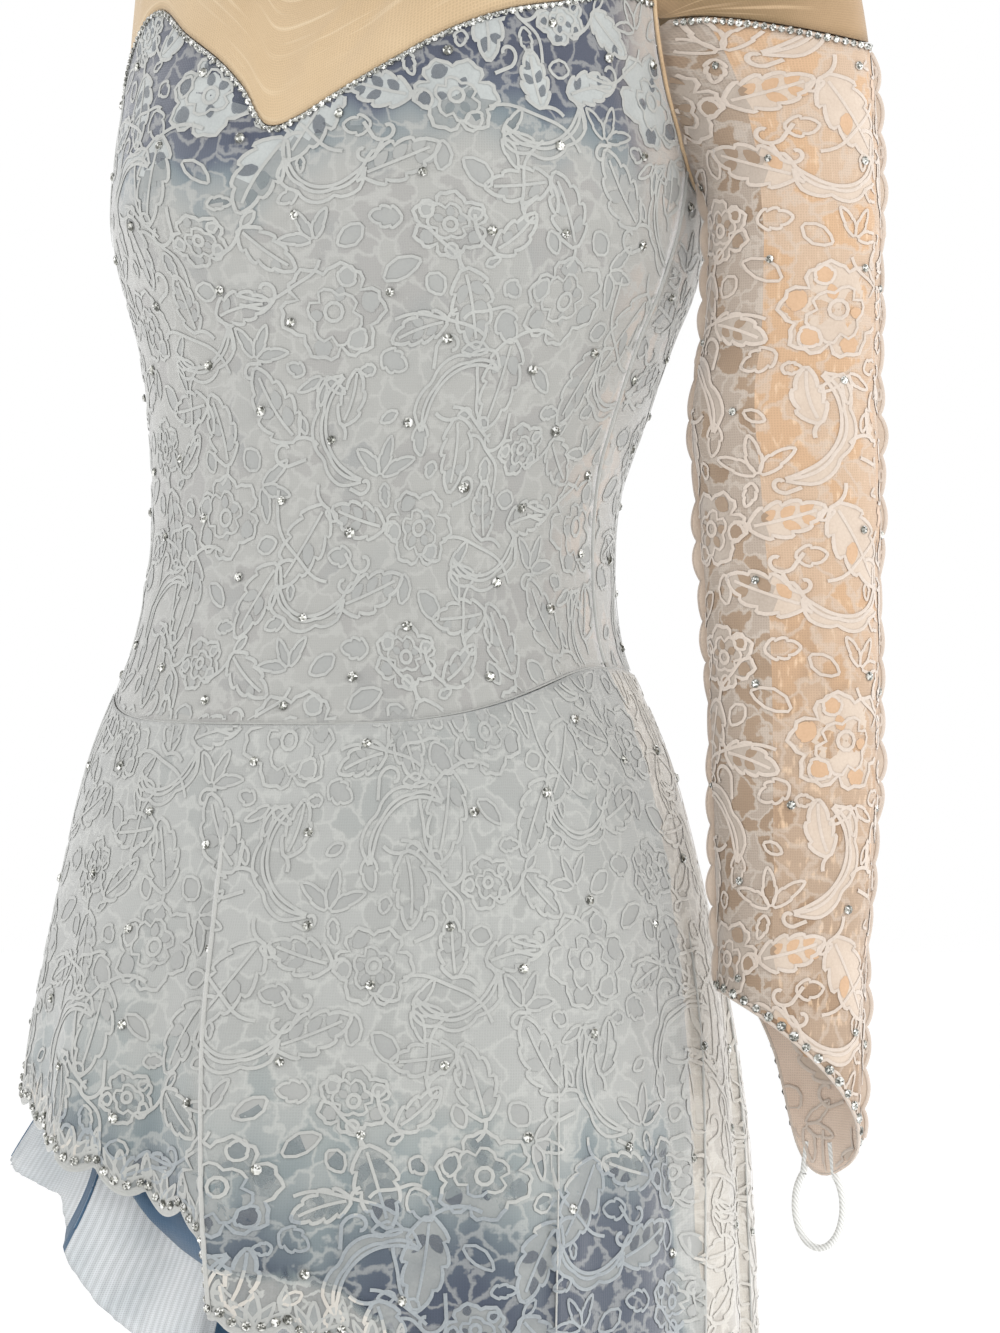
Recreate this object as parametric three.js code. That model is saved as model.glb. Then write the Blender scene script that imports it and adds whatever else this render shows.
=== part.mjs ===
// Figure skating dress: an illusion yoke, a sweetheart bodice, two long off-shoulder sleeves
// with pointed cuffs and finger loops, and a flared skirt of three layers with a slanting hem.
// Millimetres. +Z up, the front faces -Y and the wearer's left is +X.
// The origin lies between the shoulders, just below the sides of the neck.

import * as THREE from 'three';

const clothWall = 1.2;
const seamGap = 0.3;
const layerPitch = 2.2;
const shoulderSeamGap = 0.8;
const sideSeamGap = 0.9;
const degree = Math.PI / 180;

// Horizontal sections of the worn bodice, from the shoulder to below the waist seam.
const bodySections = [
  { z: -20, halfWidth: 158, halfDepth: 64, centreY: 22 },
  { z: -60, halfWidth: 149, halfDepth: 80, centreY: 12 },
  { z: -100, halfWidth: 142, halfDepth: 92, centreY: 3 },
  { z: -146, halfWidth: 139, halfDepth: 100, centreY: -4 },
  { z: -189, halfWidth: 143, halfDepth: 106, centreY: -4 },
  { z: -214, halfWidth: 147, halfDepth: 109, centreY: -3 },
  { z: -250, halfWidth: 149, halfDepth: 110, centreY: -4 },
  { z: -282, halfWidth: 144, halfDepth: 106, centreY: -3 },
  { z: -311, halfWidth: 134, halfDepth: 100, centreY: -7 },
  { z: -350, halfWidth: 124, halfDepth: 93, centreY: -15 },
  { z: -384, halfWidth: 116.5, halfDepth: 89, centreY: -24 },
  { z: -419, halfWidth: 115, halfDepth: 90, centreY: -28 },
  { z: -453, halfWidth: 119.5, halfDepth: 95, centreY: -32 },
  { z: -477, halfWidth: 128, halfDepth: 101, centreY: -33 },
  { z: -505, halfWidth: 139, halfDepth: 110, centreY: -31 },
];
const frontRoundness = 2.1;
const backRoundness = 2.5;
const cup = { x: 70, z: -236, rise: 13, spreadX: 46, spreadZ: 52 };

// Upper edge of the front bodice: angle round the body from centre front, and height.
const sweetheart = [
  { angle: -91, z: -215 },
  { angle: -78, z: -206 },
  { angle: -66, z: -188 },
  { angle: -55, z: -168 },
  { angle: -45, z: -153 },
  { angle: -36, z: -150 },
  { angle: -26, z: -163 },
  { angle: -15, z: -178 },
  { angle: -8, z: -193 },
  { angle: -3, z: -211 },
  { angle: 3, z: -208 },
  { angle: 10, z: -199 },
  { angle: 20, z: -186 },
  { angle: 33, z: -170 },
  { angle: 46, z: -160 },
  { angle: 60, z: -155 },
  { angle: 76, z: -149 },
  { angle: 91, z: -151 },
];
const backEdge = { centreZ: -166, sideZ: -158 };

// Side seam: its angle round the body at each height.
const sideSeam = [
  { z: -232, angle: 95 },
  { z: -250, angle: 93 },
  { z: -282, angle: 90 },
  { z: -350, angle: 89 },
  { z: -395, angle: 92 },
  { z: -490, angle: 94 },
];
const waistSeam = { sideZ: -466, frontZ: -492, backZ: -474 };

const armhole = { centreY: 27, centreZ: -137, halfDepth: 32, halfHeight: 102 };
const armholeStandOff = 1.2;
const neck = { halfWidth: 76, sideY: 12, sideZ: 5, frontY: -72, frontZ: -88, backY: 64, backZ: -38 };

// Hanging sections of each sleeve. The facing angle turns its outer side, and 0 is straight out.
const sleeves = {
  left: {
    side: 1,
    startZ: -268,
    bandZ: -160,
    outward: { x: 1, y: 0, down: 0.35 },
    sections: [
      { z: -268, x: 203, y: 17, outer: 42, across: 31, facing: 0 },
      { z: -311, x: 203, y: 14, outer: 43, across: 31, facing: 0 },
      { z: -345, x: 201, y: 10, outer: 45, across: 32, facing: 2 },
      { z: -384, x: 205, y: 6, outer: 44, across: 31, facing: 4 },
      { z: -453, x: 211, y: 0, outer: 41, across: 29, facing: 6 },
      { z: -531, x: 214, y: -5, outer: 39, across: 27, facing: 6 },
      { z: -600, x: 214, y: -7, outer: 36, across: 25, facing: 5 },
      { z: -720, x: 210, y: -6, outer: 34, across: 23, facing: 4 },
    ],
  },
  right: {
    side: -1,
    startZ: -300,
    bandZ: -162,
    outward: { x: 0.8, y: 0.6, down: 0.3 },
    sections: [
      { z: -300, x: -150, y: 106, outer: 42, across: 29, facing: 48 },
      { z: -345, x: -143, y: 108, outer: 44, across: 30, facing: 50 },
      { z: -384, x: -138, y: 108, outer: 44, across: 29, facing: 52 },
      { z: -453, x: -138, y: 114, outer: 42, across: 28, facing: 54 },
      { z: -531, x: -146, y: 135, outer: 39, across: 26, facing: 54 },
      { z: -600, x: -153, y: 154, outer: 36, across: 24, facing: 52 },
      { z: -720, x: -158, y: 168, outer: 34, across: 22, facing: 50 },
    ],
  },
};
// Cuff edge: how far it hangs below its highest place, by turn round the wrist.
const cuffHighZ = -615;
const cuffPointTurn = -78;
const cuffEdge = [
  { turn: -180, drop: 2 },
  { turn: -142, drop: 8 },
  { turn: -118, drop: 32 },
  { turn: -97, drop: 76 },
  { turn: cuffPointTurn, drop: 89 },
  { turn: -50, drop: 85 },
  { turn: -20, drop: 74 },
  { turn: 0, drop: 63 },
  { turn: 45, drop: 38 },
  { turn: 90, drop: 16 },
  { turn: 135, drop: 4 },
  { turn: 180, drop: 2 },
];
const fingerLoop = {
  diameter: 3.4,
  halfWidth: 13,
  bow: 19.8,
  sweep: 140,
  endTurn: 16,
  endDrop: 0.6,
  sides: 8,
  steps: 16,
};

// Skirt form below the waist seam, shared by the three layers.
const skirtSections = [
  { z: -460, halfWidth: 124, halfDepth: 99, centreY: -31 },
  { z: -482, halfWidth: 136, halfDepth: 106, centreY: -32 },
  { z: -516, halfWidth: 149, halfDepth: 117, centreY: -32 },
  { z: -565, halfWidth: 158, halfDepth: 134, centreY: -31 },
  { z: -633, halfWidth: 164, halfDepth: 156, centreY: -31 },
  { z: -700, halfWidth: 166, halfDepth: 167, centreY: -31 },
  { z: -791, halfWidth: 169, halfDepth: 176, centreY: -31 },
  { z: -930, halfWidth: 174, halfDepth: 186, centreY: -30 },
];
// Folds that hang from the hip: angle, half their width, and how far they stand out at the hem.
const skirtFolds = [
  { angle: -172, spread: 10, rise: 9 },
  { angle: -147, spread: 9, rise: 7 },
  { angle: -122, spread: 10, rise: 9 },
  { angle: -98, spread: 8, rise: 6 },
  { angle: -74, spread: 9, rise: 8 },
  { angle: -50, spread: 8, rise: 7 },
  { angle: -27, spread: 8, rise: 8 },
  { angle: -8, spread: 6, rise: -7 },
  { angle: 8, spread: 7, rise: 12 },
  { angle: 30, spread: 9, rise: 6 },
  { angle: 55, spread: 9, rise: 8 },
  { angle: 80, spread: 8, rise: 4 },
  { angle: 103, spread: 8, rise: 6 },
  { angle: 128, spread: 10, rise: 9 },
  { angle: 153, spread: 9, rise: 8 },
];
const foldStartZ = -520;
const foldFullZ = -700;
const skirtLayers = {
  skirt_lace: { hem: 'lace', topInset: 0, hemInset: 0, hemFlare: 0, rows: 6 },
  skirt_lining: { hem: 'lining', topInset: 1, hemInset: 7, hemFlare: 0, rows: 5 },
  skirt_mesh: { hem: 'mesh', topInset: 2, hemInset: 13, hemFlare: 26, rows: 7 },
};
// Height of each hem round the skirt. The lace steps down over the fold left of centre front.
const hems = [
  { angle: -180, lace: -742, lining: -722, mesh: -808 },
  { angle: -135, lace: -672, lining: -664, mesh: -742 },
  { angle: -95, lace: -640, lining: -634, mesh: -706 },
  { angle: -62, lace: -655, lining: -642, mesh: -704 },
  { angle: -50, lace: -669, lining: -652, mesh: -707 },
  { angle: -40, lace: -680, lining: -664, mesh: -712 },
  { angle: -30, lace: -689, lining: -676, mesh: -716 },
  { angle: -20, lace: -697, lining: -690, mesh: -740 },
  { angle: -10, lace: -708, lining: -722, mesh: -766 },
  { angle: 2, lace: -718, lining: -736, mesh: -782 },
  { angle: 5, lace: -725, lining: -738, mesh: -788 },
  { angle: 7.5, lace: -757, lining: -738, mesh: -794 },
  { angle: 14, lace: -763, lining: -740, mesh: -808 },
  { angle: 26, lace: -769, lining: -746, mesh: -826 },
  { angle: 40, lace: -786, lining: -774, mesh: -848 },
  { angle: 65, lace: -828, lining: -806, mesh: -884 },
  { angle: 95, lace: -860, lining: -828, mesh: -918 },
  { angle: 130, lace: -842, lining: -808, mesh: -902 },
  { angle: 180, lace: -742, lining: -722, mesh: -808 },
];
// Column angles of the skirt, closer together about the step in the lace hem.
const columnPitch = 5;
const stepReach = { from: -10, to: 15 };
const skirtColumnAngles = [];
for (let angle = -180; angle < 180; angle += columnPitch) {
  skirtColumnAngles.push(angle);
  if (angle >= stepReach.from && angle < stepReach.to) {
    skirtColumnAngles.push(angle + columnPitch / 2);
  }
}

const colours = {
  lace: 0xc4c4be,
  lining: 0x8fa0a8,
  organza: 0xd8dde0,
  nude: 0xd8bd96,
  sleeveLace: 0xd9c4ad,
  elastic: 0xe8e8e4,
};

const lerp = (from, to, part) => from + (to - from) * part;
const clamp01 = (value) => Math.min(1, Math.max(0, value));
const smooth = (value) => clamp01(value) ** 2 * (3 - 2 * clamp01(value));

// Smooth reading of one column of a table whose key column rises or falls throughout.
function readTable(table, key, at, column) {
  const falling = table[0][key] > table[1][key];
  const isPast = (row) => (falling ? row[key] > at : row[key] < at);
  let index = 0;
  while (index < table.length - 2 && isPast(table[index + 1])) {
    index += 1;
  }
  const before = table[Math.max(0, index - 1)];
  const start = table[index];
  const end = table[index + 1];
  const after = table[Math.min(table.length - 1, index + 2)];
  const span = end[key] - start[key];
  const part = clamp01((at - start[key]) / span);
  const startSlope = ((end[column] - before[column]) / (end[key] - before[key])) * span;
  const endSlope = ((after[column] - start[column]) / (after[key] - start[key])) * span;
  const square = part * part;
  const cube = square * part;
  return (2 * cube - 3 * square + 1) * start[column]
    + (cube - 2 * square + part) * startSlope
    + (3 * square - 2 * cube) * end[column]
    + (cube - square) * endSlope;
}

function readSection(table, z) {
  return {
    halfWidth: readTable(table, 'z', z, 'halfWidth'),
    halfDepth: readTable(table, 'z', z, 'halfDepth'),
    centreY: readTable(table, 'z', z, 'centreY'),
  };
}

// Point of a rounded section at an angle from centre front, towards +X.
function sectionPoint(section, angle, z, inset = 0) {
  const across = Math.sin(angle * degree);
  const forward = Math.cos(angle * degree);
  const power = 2 / (forward > 0 ? frontRoundness : backRoundness);
  const halfWidth = section.halfWidth - inset;
  const halfDepth = section.halfDepth - inset;
  const x = halfWidth * Math.sign(across) * Math.abs(across) ** power;
  const y = section.centreY - halfDepth * Math.sign(forward) * Math.abs(forward) ** power;
  return new THREE.Vector3(x, y, z);
}

function bodyPoint(angle, z) {
  const point = sectionPoint(readSection(bodySections, z), angle, z);
  const sideways = (Math.abs(point.x) - cup.x) / cup.spreadX;
  const upward = (z - cup.z) / cup.spreadZ;
  const isFront = Math.cos(angle * degree) > 0 ? Math.cos(angle * degree) : 0;
  const bulge = cup.rise * Math.exp(-sideways * sideways - upward * upward) * Math.sqrt(isFront);
  point.x *= 1 + (0.3 * bulge) / cup.x;
  point.y -= bulge;
  return point;
}

// Angle round the body at which its side reaches the given depth.
function angleAtDepth(y, z) {
  const section = readSection(bodySections, z);
  const part = clamp01(Math.abs(y - section.centreY) / section.halfDepth);
  const power = (y < section.centreY ? frontRoundness : backRoundness) / 2;
  return 90 + (Math.sign(y - section.centreY) * Math.asin(part ** power)) / degree;
}

// Armhole edge: turn 0 is the shoulder tip, 90 the front and 180 the underarm.
function armholePlace(turn) {
  const y = armhole.centreY - armhole.halfDepth * Math.sin(turn * degree);
  const z = armhole.centreZ + armhole.halfHeight * Math.cos(turn * degree);
  return { angle: angleAtDepth(y, z), z };
}

function armholePoint(side, turn) {
  const place = armholePlace(turn);
  const point = bodyPoint(place.angle, place.z);
  point.x *= side;
  return point;
}

function turnAtHeight(z) {
  return Math.acos(clamp01((z - armhole.centreZ) / armhole.halfHeight * 0.5 + 0.5) * 2 - 1) / degree;
}

function sideAngle(z) {
  const seamTop = sideSeam[0].z;
  if (z > seamTop) {
    return armholePlace(turnAtHeight(z)).angle;
  }
  return readTable(sideSeam, 'z', z, 'angle');
}

function waistZ(angle) {
  const forward = Math.cos(angle * degree);
  const end = forward > 0 ? waistSeam.frontZ : waistSeam.backZ;
  return lerp(waistSeam.sideZ, end, smooth(Math.abs(forward)));
}

// Closed wall between an outer grid of points and the same grid moved in by its thickness.
// A wrapped grid joins its last column to its first.
function clothWallGeometry(columns, rows, placeAt, options = {}) {
  const { wrapped = false, thickness = clothWall, flip = false } = options;
  const columnCount = wrapped ? columns : columns + 1;
  const rowCount = rows + 1;
  const outer = [];
  for (let column = 0; column < columnCount; column += 1) {
    for (let row = 0; row < rowCount; row += 1) {
      outer.push(placeAt(column / columns, row / rows));
    }
  }
  const indexOf = (column, row) => ((column + columnCount) % columnCount) * rowCount + row;
  const columnBefore = (column) => (wrapped ? column - 1 : Math.max(0, column - 1));
  const columnAfter = (column) => (wrapped ? column + 1 : Math.min(columnCount - 1, column + 1));
  const inner = [];
  for (let column = 0; column < columnCount; column += 1) {
    for (let row = 0; row < rowCount; row += 1) {
      const along = outer[indexOf(columnAfter(column), row)].clone();
      along.sub(outer[indexOf(columnBefore(column), row)]);
      const down = outer[indexOf(column, Math.min(rows, row + 1))].clone();
      down.sub(outer[indexOf(column, Math.max(0, row - 1))]);
      const inward = along.cross(down).normalize().multiplyScalar(flip ? -thickness : thickness);
      inner.push(outer[indexOf(column, row)].clone().add(inward));
    }
  }
  const positions = [];
  for (const point of [...outer, ...inner]) {
    positions.push(point.x, point.y, point.z);
  }
  const shift = outer.length;
  const faces = [];
  const addQuad = (a, b, c, d) => {
    if (flip) {
      faces.push(a, d, c, a, c, b);
    } else {
      faces.push(a, b, c, a, c, d);
    }
  };
  const columnSteps = wrapped ? columnCount : columnCount - 1;
  for (let column = 0; column < columnSteps; column += 1) {
    for (let row = 0; row < rows; row += 1) {
      const here = indexOf(column, row);
      const below = indexOf(column, row + 1);
      const next = indexOf(column + 1, row);
      const nextBelow = indexOf(column + 1, row + 1);
      addQuad(here, below, nextBelow, next);
      addQuad(here + shift, next + shift, nextBelow + shift, below + shift);
    }
    const topHere = indexOf(column, 0);
    const topNext = indexOf(column + 1, 0);
    const hemHere = indexOf(column, rows);
    const hemNext = indexOf(column + 1, rows);
    addQuad(topHere, topNext, topNext + shift, topHere + shift);
    addQuad(hemHere, hemHere + shift, hemNext + shift, hemNext);
  }
  if (!wrapped) {
    for (let row = 0; row < rows; row += 1) {
      const firstHere = indexOf(0, row);
      const firstBelow = indexOf(0, row + 1);
      const lastHere = indexOf(columnCount - 1, row);
      const lastBelow = indexOf(columnCount - 1, row + 1);
      addQuad(firstHere, firstHere + shift, firstBelow + shift, firstBelow);
      addQuad(lastHere, lastBelow, lastBelow + shift, lastHere + shift);
    }
  }
  const geometry = new THREE.BufferGeometry();
  geometry.setAttribute('position', new THREE.Float32BufferAttribute(positions, 3));
  geometry.setIndex(faces);
  geometry.computeVertexNormals();
  return geometry;
}

const dress = new THREE.Group();

function addPiece(name, geometry, colour, roughness = 0.85) {
  const material = new THREE.MeshStandardMaterial({ color: colour, roughness, metalness: 0 });
  const mesh = new THREE.Mesh(geometry, material);
  mesh.name = name;
  dress.add(mesh);
}

// Front columns stand at the rows of the sweetheart table and halfway between them.
const frontColumns = (sweetheart.length - 1) * 2;
function frontEdge(part) {
  const place = part * (sweetheart.length - 1);
  const index = Math.min(sweetheart.length - 2, Math.floor(place));
  const angle = lerp(sweetheart[index].angle, sweetheart[index + 1].angle, place - index);
  return { angle, z: readTable(sweetheart, 'angle', angle, 'z') };
}

const widestAngle = sweetheart[sweetheart.length - 1].angle;
const waistSideAngle = sideSeam[sideSeam.length - 1].angle;
const sideGapAngle = sideSeamGap / (bodySections[0].halfWidth * degree);

function bodiceFrontPoint(acrossPart, downPart) {
  const edge = frontEdge(acrossPart);
  const top = edge.z - seamGap;
  const share = edge.angle / widestAngle;
  const bottom = waistZ(share * waistSideAngle) + seamGap;
  const z = lerp(top, bottom, downPart);
  const fullAngle = sideAngle(z) - sideGapAngle;
  return bodyPoint(share * fullAngle, z);
}

function backEdgeZ(angle) {
  const fromCentre = Math.abs(angle - 180) / 60;
  return lerp(backEdge.centreZ, backEdge.sideZ, smooth(fromCentre));
}

// The back bodice meets the yoke between the two back corners, and the armholes outside them.
const backCornerTurn = 360 - turnAtHeight(backEdge.sideZ);
const backCornerAngle = armholePlace(backCornerTurn).angle;
const underarmTurn = turnAtHeight(sideSeam[0].z);
const armholeShare = 0.2;
const backColumns = 20;

function backTopPlace(part) {
  if (part < armholeShare) {
    const turn = lerp(underarmTurn, backCornerTurn, part / armholeShare);
    return armholePlace(turn);
  }
  if (part > 1 - armholeShare) {
    const mirrored = backTopPlace(1 - part);
    return { angle: 360 - mirrored.angle, z: mirrored.z };
  }
  const across = (part - armholeShare) / (1 - 2 * armholeShare);
  const angle = lerp(backCornerAngle, 360 - backCornerAngle, across);
  return { angle, z: backEdgeZ(angle) };
}

function bodiceBackPoint(acrossPart, downPart) {
  const top = backTopPlace(acrossPart);
  const bottomAngle = lerp(waistSideAngle, 360 - waistSideAngle, acrossPart);
  const bottom = waistZ(bottomAngle) + seamGap;
  const z = lerp(top.z - seamGap, bottom, downPart);
  const angle = lerp(top.angle, bottomAngle, downPart);
  const fromSide = Math.min(acrossPart, 1 - acrossPart);
  const hug = smooth(1 - fromSide / 0.25);
  const plain = lerp(backTopPlace(0).angle, waistSideAngle, downPart);
  const sideShift = (sideAngle(Math.min(z, sideSeam[0].z)) - plain + sideGapAngle) * hug;
  return bodyPoint(acrossPart < 0.5 ? angle + sideShift : angle - sideShift, z);
}

// Neck edge and shoulder seam: part 0 is centre front or back, 1 the shoulder tip.
const neckShare = 0.5;
function shoulderTip() {
  return armholePoint(1, 0);
}

function yokeTopPoint(part, end) {
  const reach = Math.abs(part);
  const side = Math.sign(part) || 1;
  const point = new THREE.Vector3();
  if (reach <= neckShare) {
    const sweep = (reach / neckShare) * 90;
    point.x = neck.halfWidth * Math.sin(sweep * degree);
    point.y = lerp(neck.sideY, end.y, Math.cos(sweep * degree));
    point.z = lerp(neck.sideZ, end.z, Math.cos(sweep * degree));
  } else {
    const along = (reach - neckShare) / (1 - neckShare);
    const seam = new THREE.Vector3(neck.halfWidth, neck.sideY, neck.sideZ);
    point.copy(seam.lerp(shoulderTip(), along));
    point.z += 4 * Math.sin(along * Math.PI);
  }
  point.x *= side;
  return point;
}

// Each yoke column is a curve from the neck or shoulder seam to the bodice edge.
function yokePoint(part, downPart, end, bottomPlace, sideCurve) {
  const top = yokeTopPoint(part, end);
  const direction = end.y < 0 ? -1 : 1;
  const overShoulder = smooth((Math.abs(part) - 0.1) / 0.6);
  top.y += direction * shoulderSeamGap * overShoulder;
  const bottom = bodyPoint(bottomPlace.angle, bottomPlace.z);
  const above = bodyPoint(bottomPlace.angle, bottomPlace.z + 12);
  const upward = above.sub(bottom).normalize();
  const length = top.distanceTo(bottom);
  const leave = new THREE.Vector3(0, direction * lerp(0.35, 1, overShoulder), -lerp(1, 0.25, overShoulder));
  leave.normalize();
  const curve = new THREE.CubicBezierCurve3(
    top,
    top.clone().addScaledVector(leave, length * lerp(0.33, 0.45, overShoulder)),
    bottom.clone().addScaledVector(upward, length * 0.4),
    bottom,
  );
  const point = curve.getPoint(downPart);
  const edgeShare = smooth((Math.abs(part) - 0.7) / 0.3);
  if (edgeShare > 0) {
    const edgePoint = sideCurve(Math.sign(part), downPart);
    const plain = yokePlainEdge(Math.sign(part), downPart, end, sideCurve);
    point.addScaledVector(edgePoint.sub(plain), edgeShare);
  }
  return point;
}

// The curve that the outermost column would follow without the armhole.
function yokePlainEdge(side, downPart, end, sideCurve) {
  const top = sideCurve(side, 0);
  const bottom = sideCurve(side, 1);
  const direction = end.y < 0 ? -1 : 1;
  const length = top.distanceTo(bottom);
  const leave = new THREE.Vector3(0, direction, -0.25).normalize();
  const curve = new THREE.CubicBezierCurve3(
    top,
    top.clone().addScaledVector(leave, length * 0.45),
    bottom.clone().add(new THREE.Vector3(0, 0, length * 0.4)),
    bottom,
  );
  return curve.getPoint(downPart);
}

function frontArmholeCurve(side, downPart) {
  const edge = side > 0 ? frontEdge(1) : frontEdge(0);
  const turn = lerp(2, turnAtHeight(edge.z + seamGap), downPart);
  return armholePoint(side, turn);
}

function backArmholeCurve(side, downPart) {
  const turn = lerp(358, 360 - turnAtHeight(backEdge.sideZ + seamGap), downPart);
  return armholePoint(side, turn);
}

function yokeFrontPoint(acrossPart, downPart) {
  const edge = frontEdge(acrossPart);
  const part = edge.angle / widestAngle;
  const bottomPlace = { angle: part * (sideAngle(edge.z) - sideGapAngle), z: edge.z + seamGap };
  return yokePoint(part, downPart, { y: neck.frontY, z: neck.frontZ }, bottomPlace, frontArmholeCurve);
}

const yokeBackColumns = 18;
function yokeBackPoint(acrossPart, downPart) {
  const part = 1 - 2 * acrossPart;
  const angle = lerp(backCornerAngle, 360 - backCornerAngle, acrossPart);
  const bottomPlace = { angle, z: backEdgeZ(angle) + seamGap };
  return yokePoint(part, downPart, { y: neck.backY, z: neck.backZ }, bottomPlace, backArmholeCurve);
}

// Sleeve surface: turn runs round the arm as at the armhole, down runs along it.
const bendShare = 0.42;
const bandDroop = 14;
function sleeveSectionPoint(sleeve, turn, z) {
  const read = (column) => readTable(sleeve.sections, 'z', z, column);
  const facing = read('facing') * degree;
  const outward = new THREE.Vector3(sleeve.side * Math.cos(facing), Math.sin(facing), 0);
  const forward = new THREE.Vector3(sleeve.side * Math.sin(facing), -Math.cos(facing), 0);
  const point = new THREE.Vector3(read('x'), read('y'), z);
  point.addScaledVector(outward, read('outer') * Math.cos(turn * degree));
  point.addScaledVector(forward, read('across') * Math.sin(turn * degree));
  return point;
}

function cuffZ(turn) {
  const wrapped = ((turn + 540) % 360) - 180;
  return cuffHighZ - readTable(cuffEdge, 'turn', wrapped, 'drop');
}

function sleevePoint(sleeve, turn, down) {
  if (down > bendShare) {
    const z = lerp(sleeve.startZ, cuffZ(turn), (down - bendShare) / (1 - bendShare));
    return sleeveSectionPoint(sleeve, turn, z);
  }
  const start = armholePoint(sleeve.side, turn);
  const section = readSection(bodySections, start.z);
  const away = new THREE.Vector3(
    start.x / section.halfWidth ** 2,
    (start.y - section.centreY) / section.halfDepth ** 2,
    0,
  ).normalize();
  start.addScaledVector(away, armholeStandOff);
  const end = sleeveSectionPoint(sleeve, turn, sleeve.startZ);
  const length = start.distanceTo(end);
  const underarm = smooth(0.5 - 0.5 * Math.cos(turn * degree));
  const leave = new THREE.Vector3(
    sleeve.side * sleeve.outward.x,
    sleeve.outward.y,
    -lerp(sleeve.outward.down, 0.8, underarm),
  ).normalize();
  const reach = length / 3;
  const curve = new THREE.CubicBezierCurve3(
    start,
    start.clone().addScaledVector(leave, reach),
    end.clone().add(new THREE.Vector3(0, 0, reach)),
    end,
  );
  return curve.getPoint(down / bendShare);
}

// Where the crystal band crosses each line of the sleeve. Below the band's ends there is none.
function bandDown(sleeve, turn) {
  const droop = bandDroop * Math.cos(turn * degree);
  const level = sleeve.bandZ - Math.max(0, droop);
  if (armholePoint(sleeve.side, turn).z < level) {
    return 0;
  }
  let high = 0;
  let low = bendShare;
  for (let step = 0; step < 30; step += 1) {
    const middle = (high + low) / 2;
    if (sleevePoint(sleeve, turn, middle).z > level) {
      high = middle;
    } else {
      low = middle;
    }
  }
  return high;
}

const sleeveRows = 12;
const capColumns = 14;
const capRows = 4;
const underarmColumns = 8;
const bandGapPart = 0.0018;
const capEndColumn = 0.15;

function addSleeve(word) {
  const sleeve = sleeves[word];
  const flip = sleeve.side > 0;
  const bandEndTurn = turnAtHeight(sleeve.bandZ);
  const columnTotal = capColumns + underarmColumns;
  const turnAt = (column) => (column <= capColumns
    ? lerp(-bandEndTurn, bandEndTurn, column / capColumns)
    : lerp(bandEndTurn, 360 - bandEndTurn, (column - capColumns) / underarmColumns));
  const sleeveGeometry = clothWallGeometry(columnTotal, sleeveRows, (round, down) => {
    const turn = turnAt(round * columnTotal);
    return sleevePoint(sleeve, turn, lerp(bandDown(sleeve, turn), 1, down));
  }, { wrapped: true, flip });
  addPiece(`sleeve_${word}`, sleeveGeometry, colours.sleeveLace);
  const bandDownAt = (column) => {
    const before = Math.floor(column);
    const from = bandDown(sleeve, turnAt(before));
    return lerp(from, bandDown(sleeve, turnAt(before + 1)), column - before);
  };
  const capGeometry = clothWallGeometry(capColumns, capRows, (round, down) => {
    const column = Math.min(capColumns - capEndColumn, Math.max(capEndColumn, round * capColumns));
    return sleevePoint(sleeve, turnAt(column), (bandDownAt(column) - bandGapPart) * down);
  }, { flip });
  addPiece(`shoulder_cap_${word}`, capGeometry, colours.nude);
}

// The loop hangs from the two sides of the cuff point.
function addFingerLoop(word) {
  const sleeve = sleeves[word];
  const endZ = cuffZ(cuffPointTurn + fingerLoop.endTurn) - fingerLoop.endDrop;
  const tip = sleeveSectionPoint(sleeve, cuffPointTurn, endZ);
  const side = sleeveSectionPoint(sleeve, cuffPointTurn + fingerLoop.endTurn, endZ);
  side.sub(sleeveSectionPoint(sleeve, cuffPointTurn - fingerLoop.endTurn, endZ)).normalize();
  const points = [];
  for (let step = 0; step <= fingerLoop.steps; step += 1) {
    const sweep = lerp(-fingerLoop.sweep, fingerLoop.sweep, step / fingerLoop.steps) * degree;
    const point = tip.clone();
    point.addScaledVector(side, fingerLoop.halfWidth * Math.sin(sweep));
    point.z -= fingerLoop.bow * (Math.cos(sweep) - Math.cos(fingerLoop.sweep * degree));
    points.push(point);
  }
  const route = new THREE.CatmullRomCurve3(points);
  const outline = new THREE.Shape();
  outline.absarc(0, 0, fingerLoop.diameter / 2, 0, 2 * Math.PI);
  const geometry = new THREE.ExtrudeGeometry(outline, {
    curveSegments: fingerLoop.sides / 2,
    steps: fingerLoop.steps,
    extrudePath: route,
  });
  addPiece(`finger_loop_${word}`, geometry, colours.elastic, 0.6);
}

function hemZ(name, angle) {
  return readTable(hems, 'angle', ((angle + 540) % 360) - 180, name);
}

function foldRise(angle, z) {
  const grown = clamp01((foldStartZ - z) / (foldStartZ - foldFullZ)) ** 1.2;
  let rise = 0;
  for (const fold of skirtFolds) {
    const away = ((angle - fold.angle + 540) % 360) - 180;
    rise += fold.rise * Math.exp(-((away / fold.spread) ** 2));
  }
  return rise * grown;
}

function skirtPoint(layer, angle, down) {
  const top = waistZ(angle) - seamGap - layerPitch * 0.4 * layer.topInset;
  const z = lerp(top, hemZ(layer.hem, angle), down);
  const hang = smooth((top - z) / 150);
  const below = smooth((hemZ('lace', angle) - z) / 70);
  const inset = layerPitch * layer.topInset + layer.hemInset * hang - layer.hemFlare * below;
  const point = sectionPoint(readSection(skirtSections, z), angle, z, inset);
  const outward = new THREE.Vector3(point.x, point.y - skirtSections[0].centreY, 0).normalize();
  return point.addScaledVector(outward, foldRise(angle, z) - 4);
}

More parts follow.
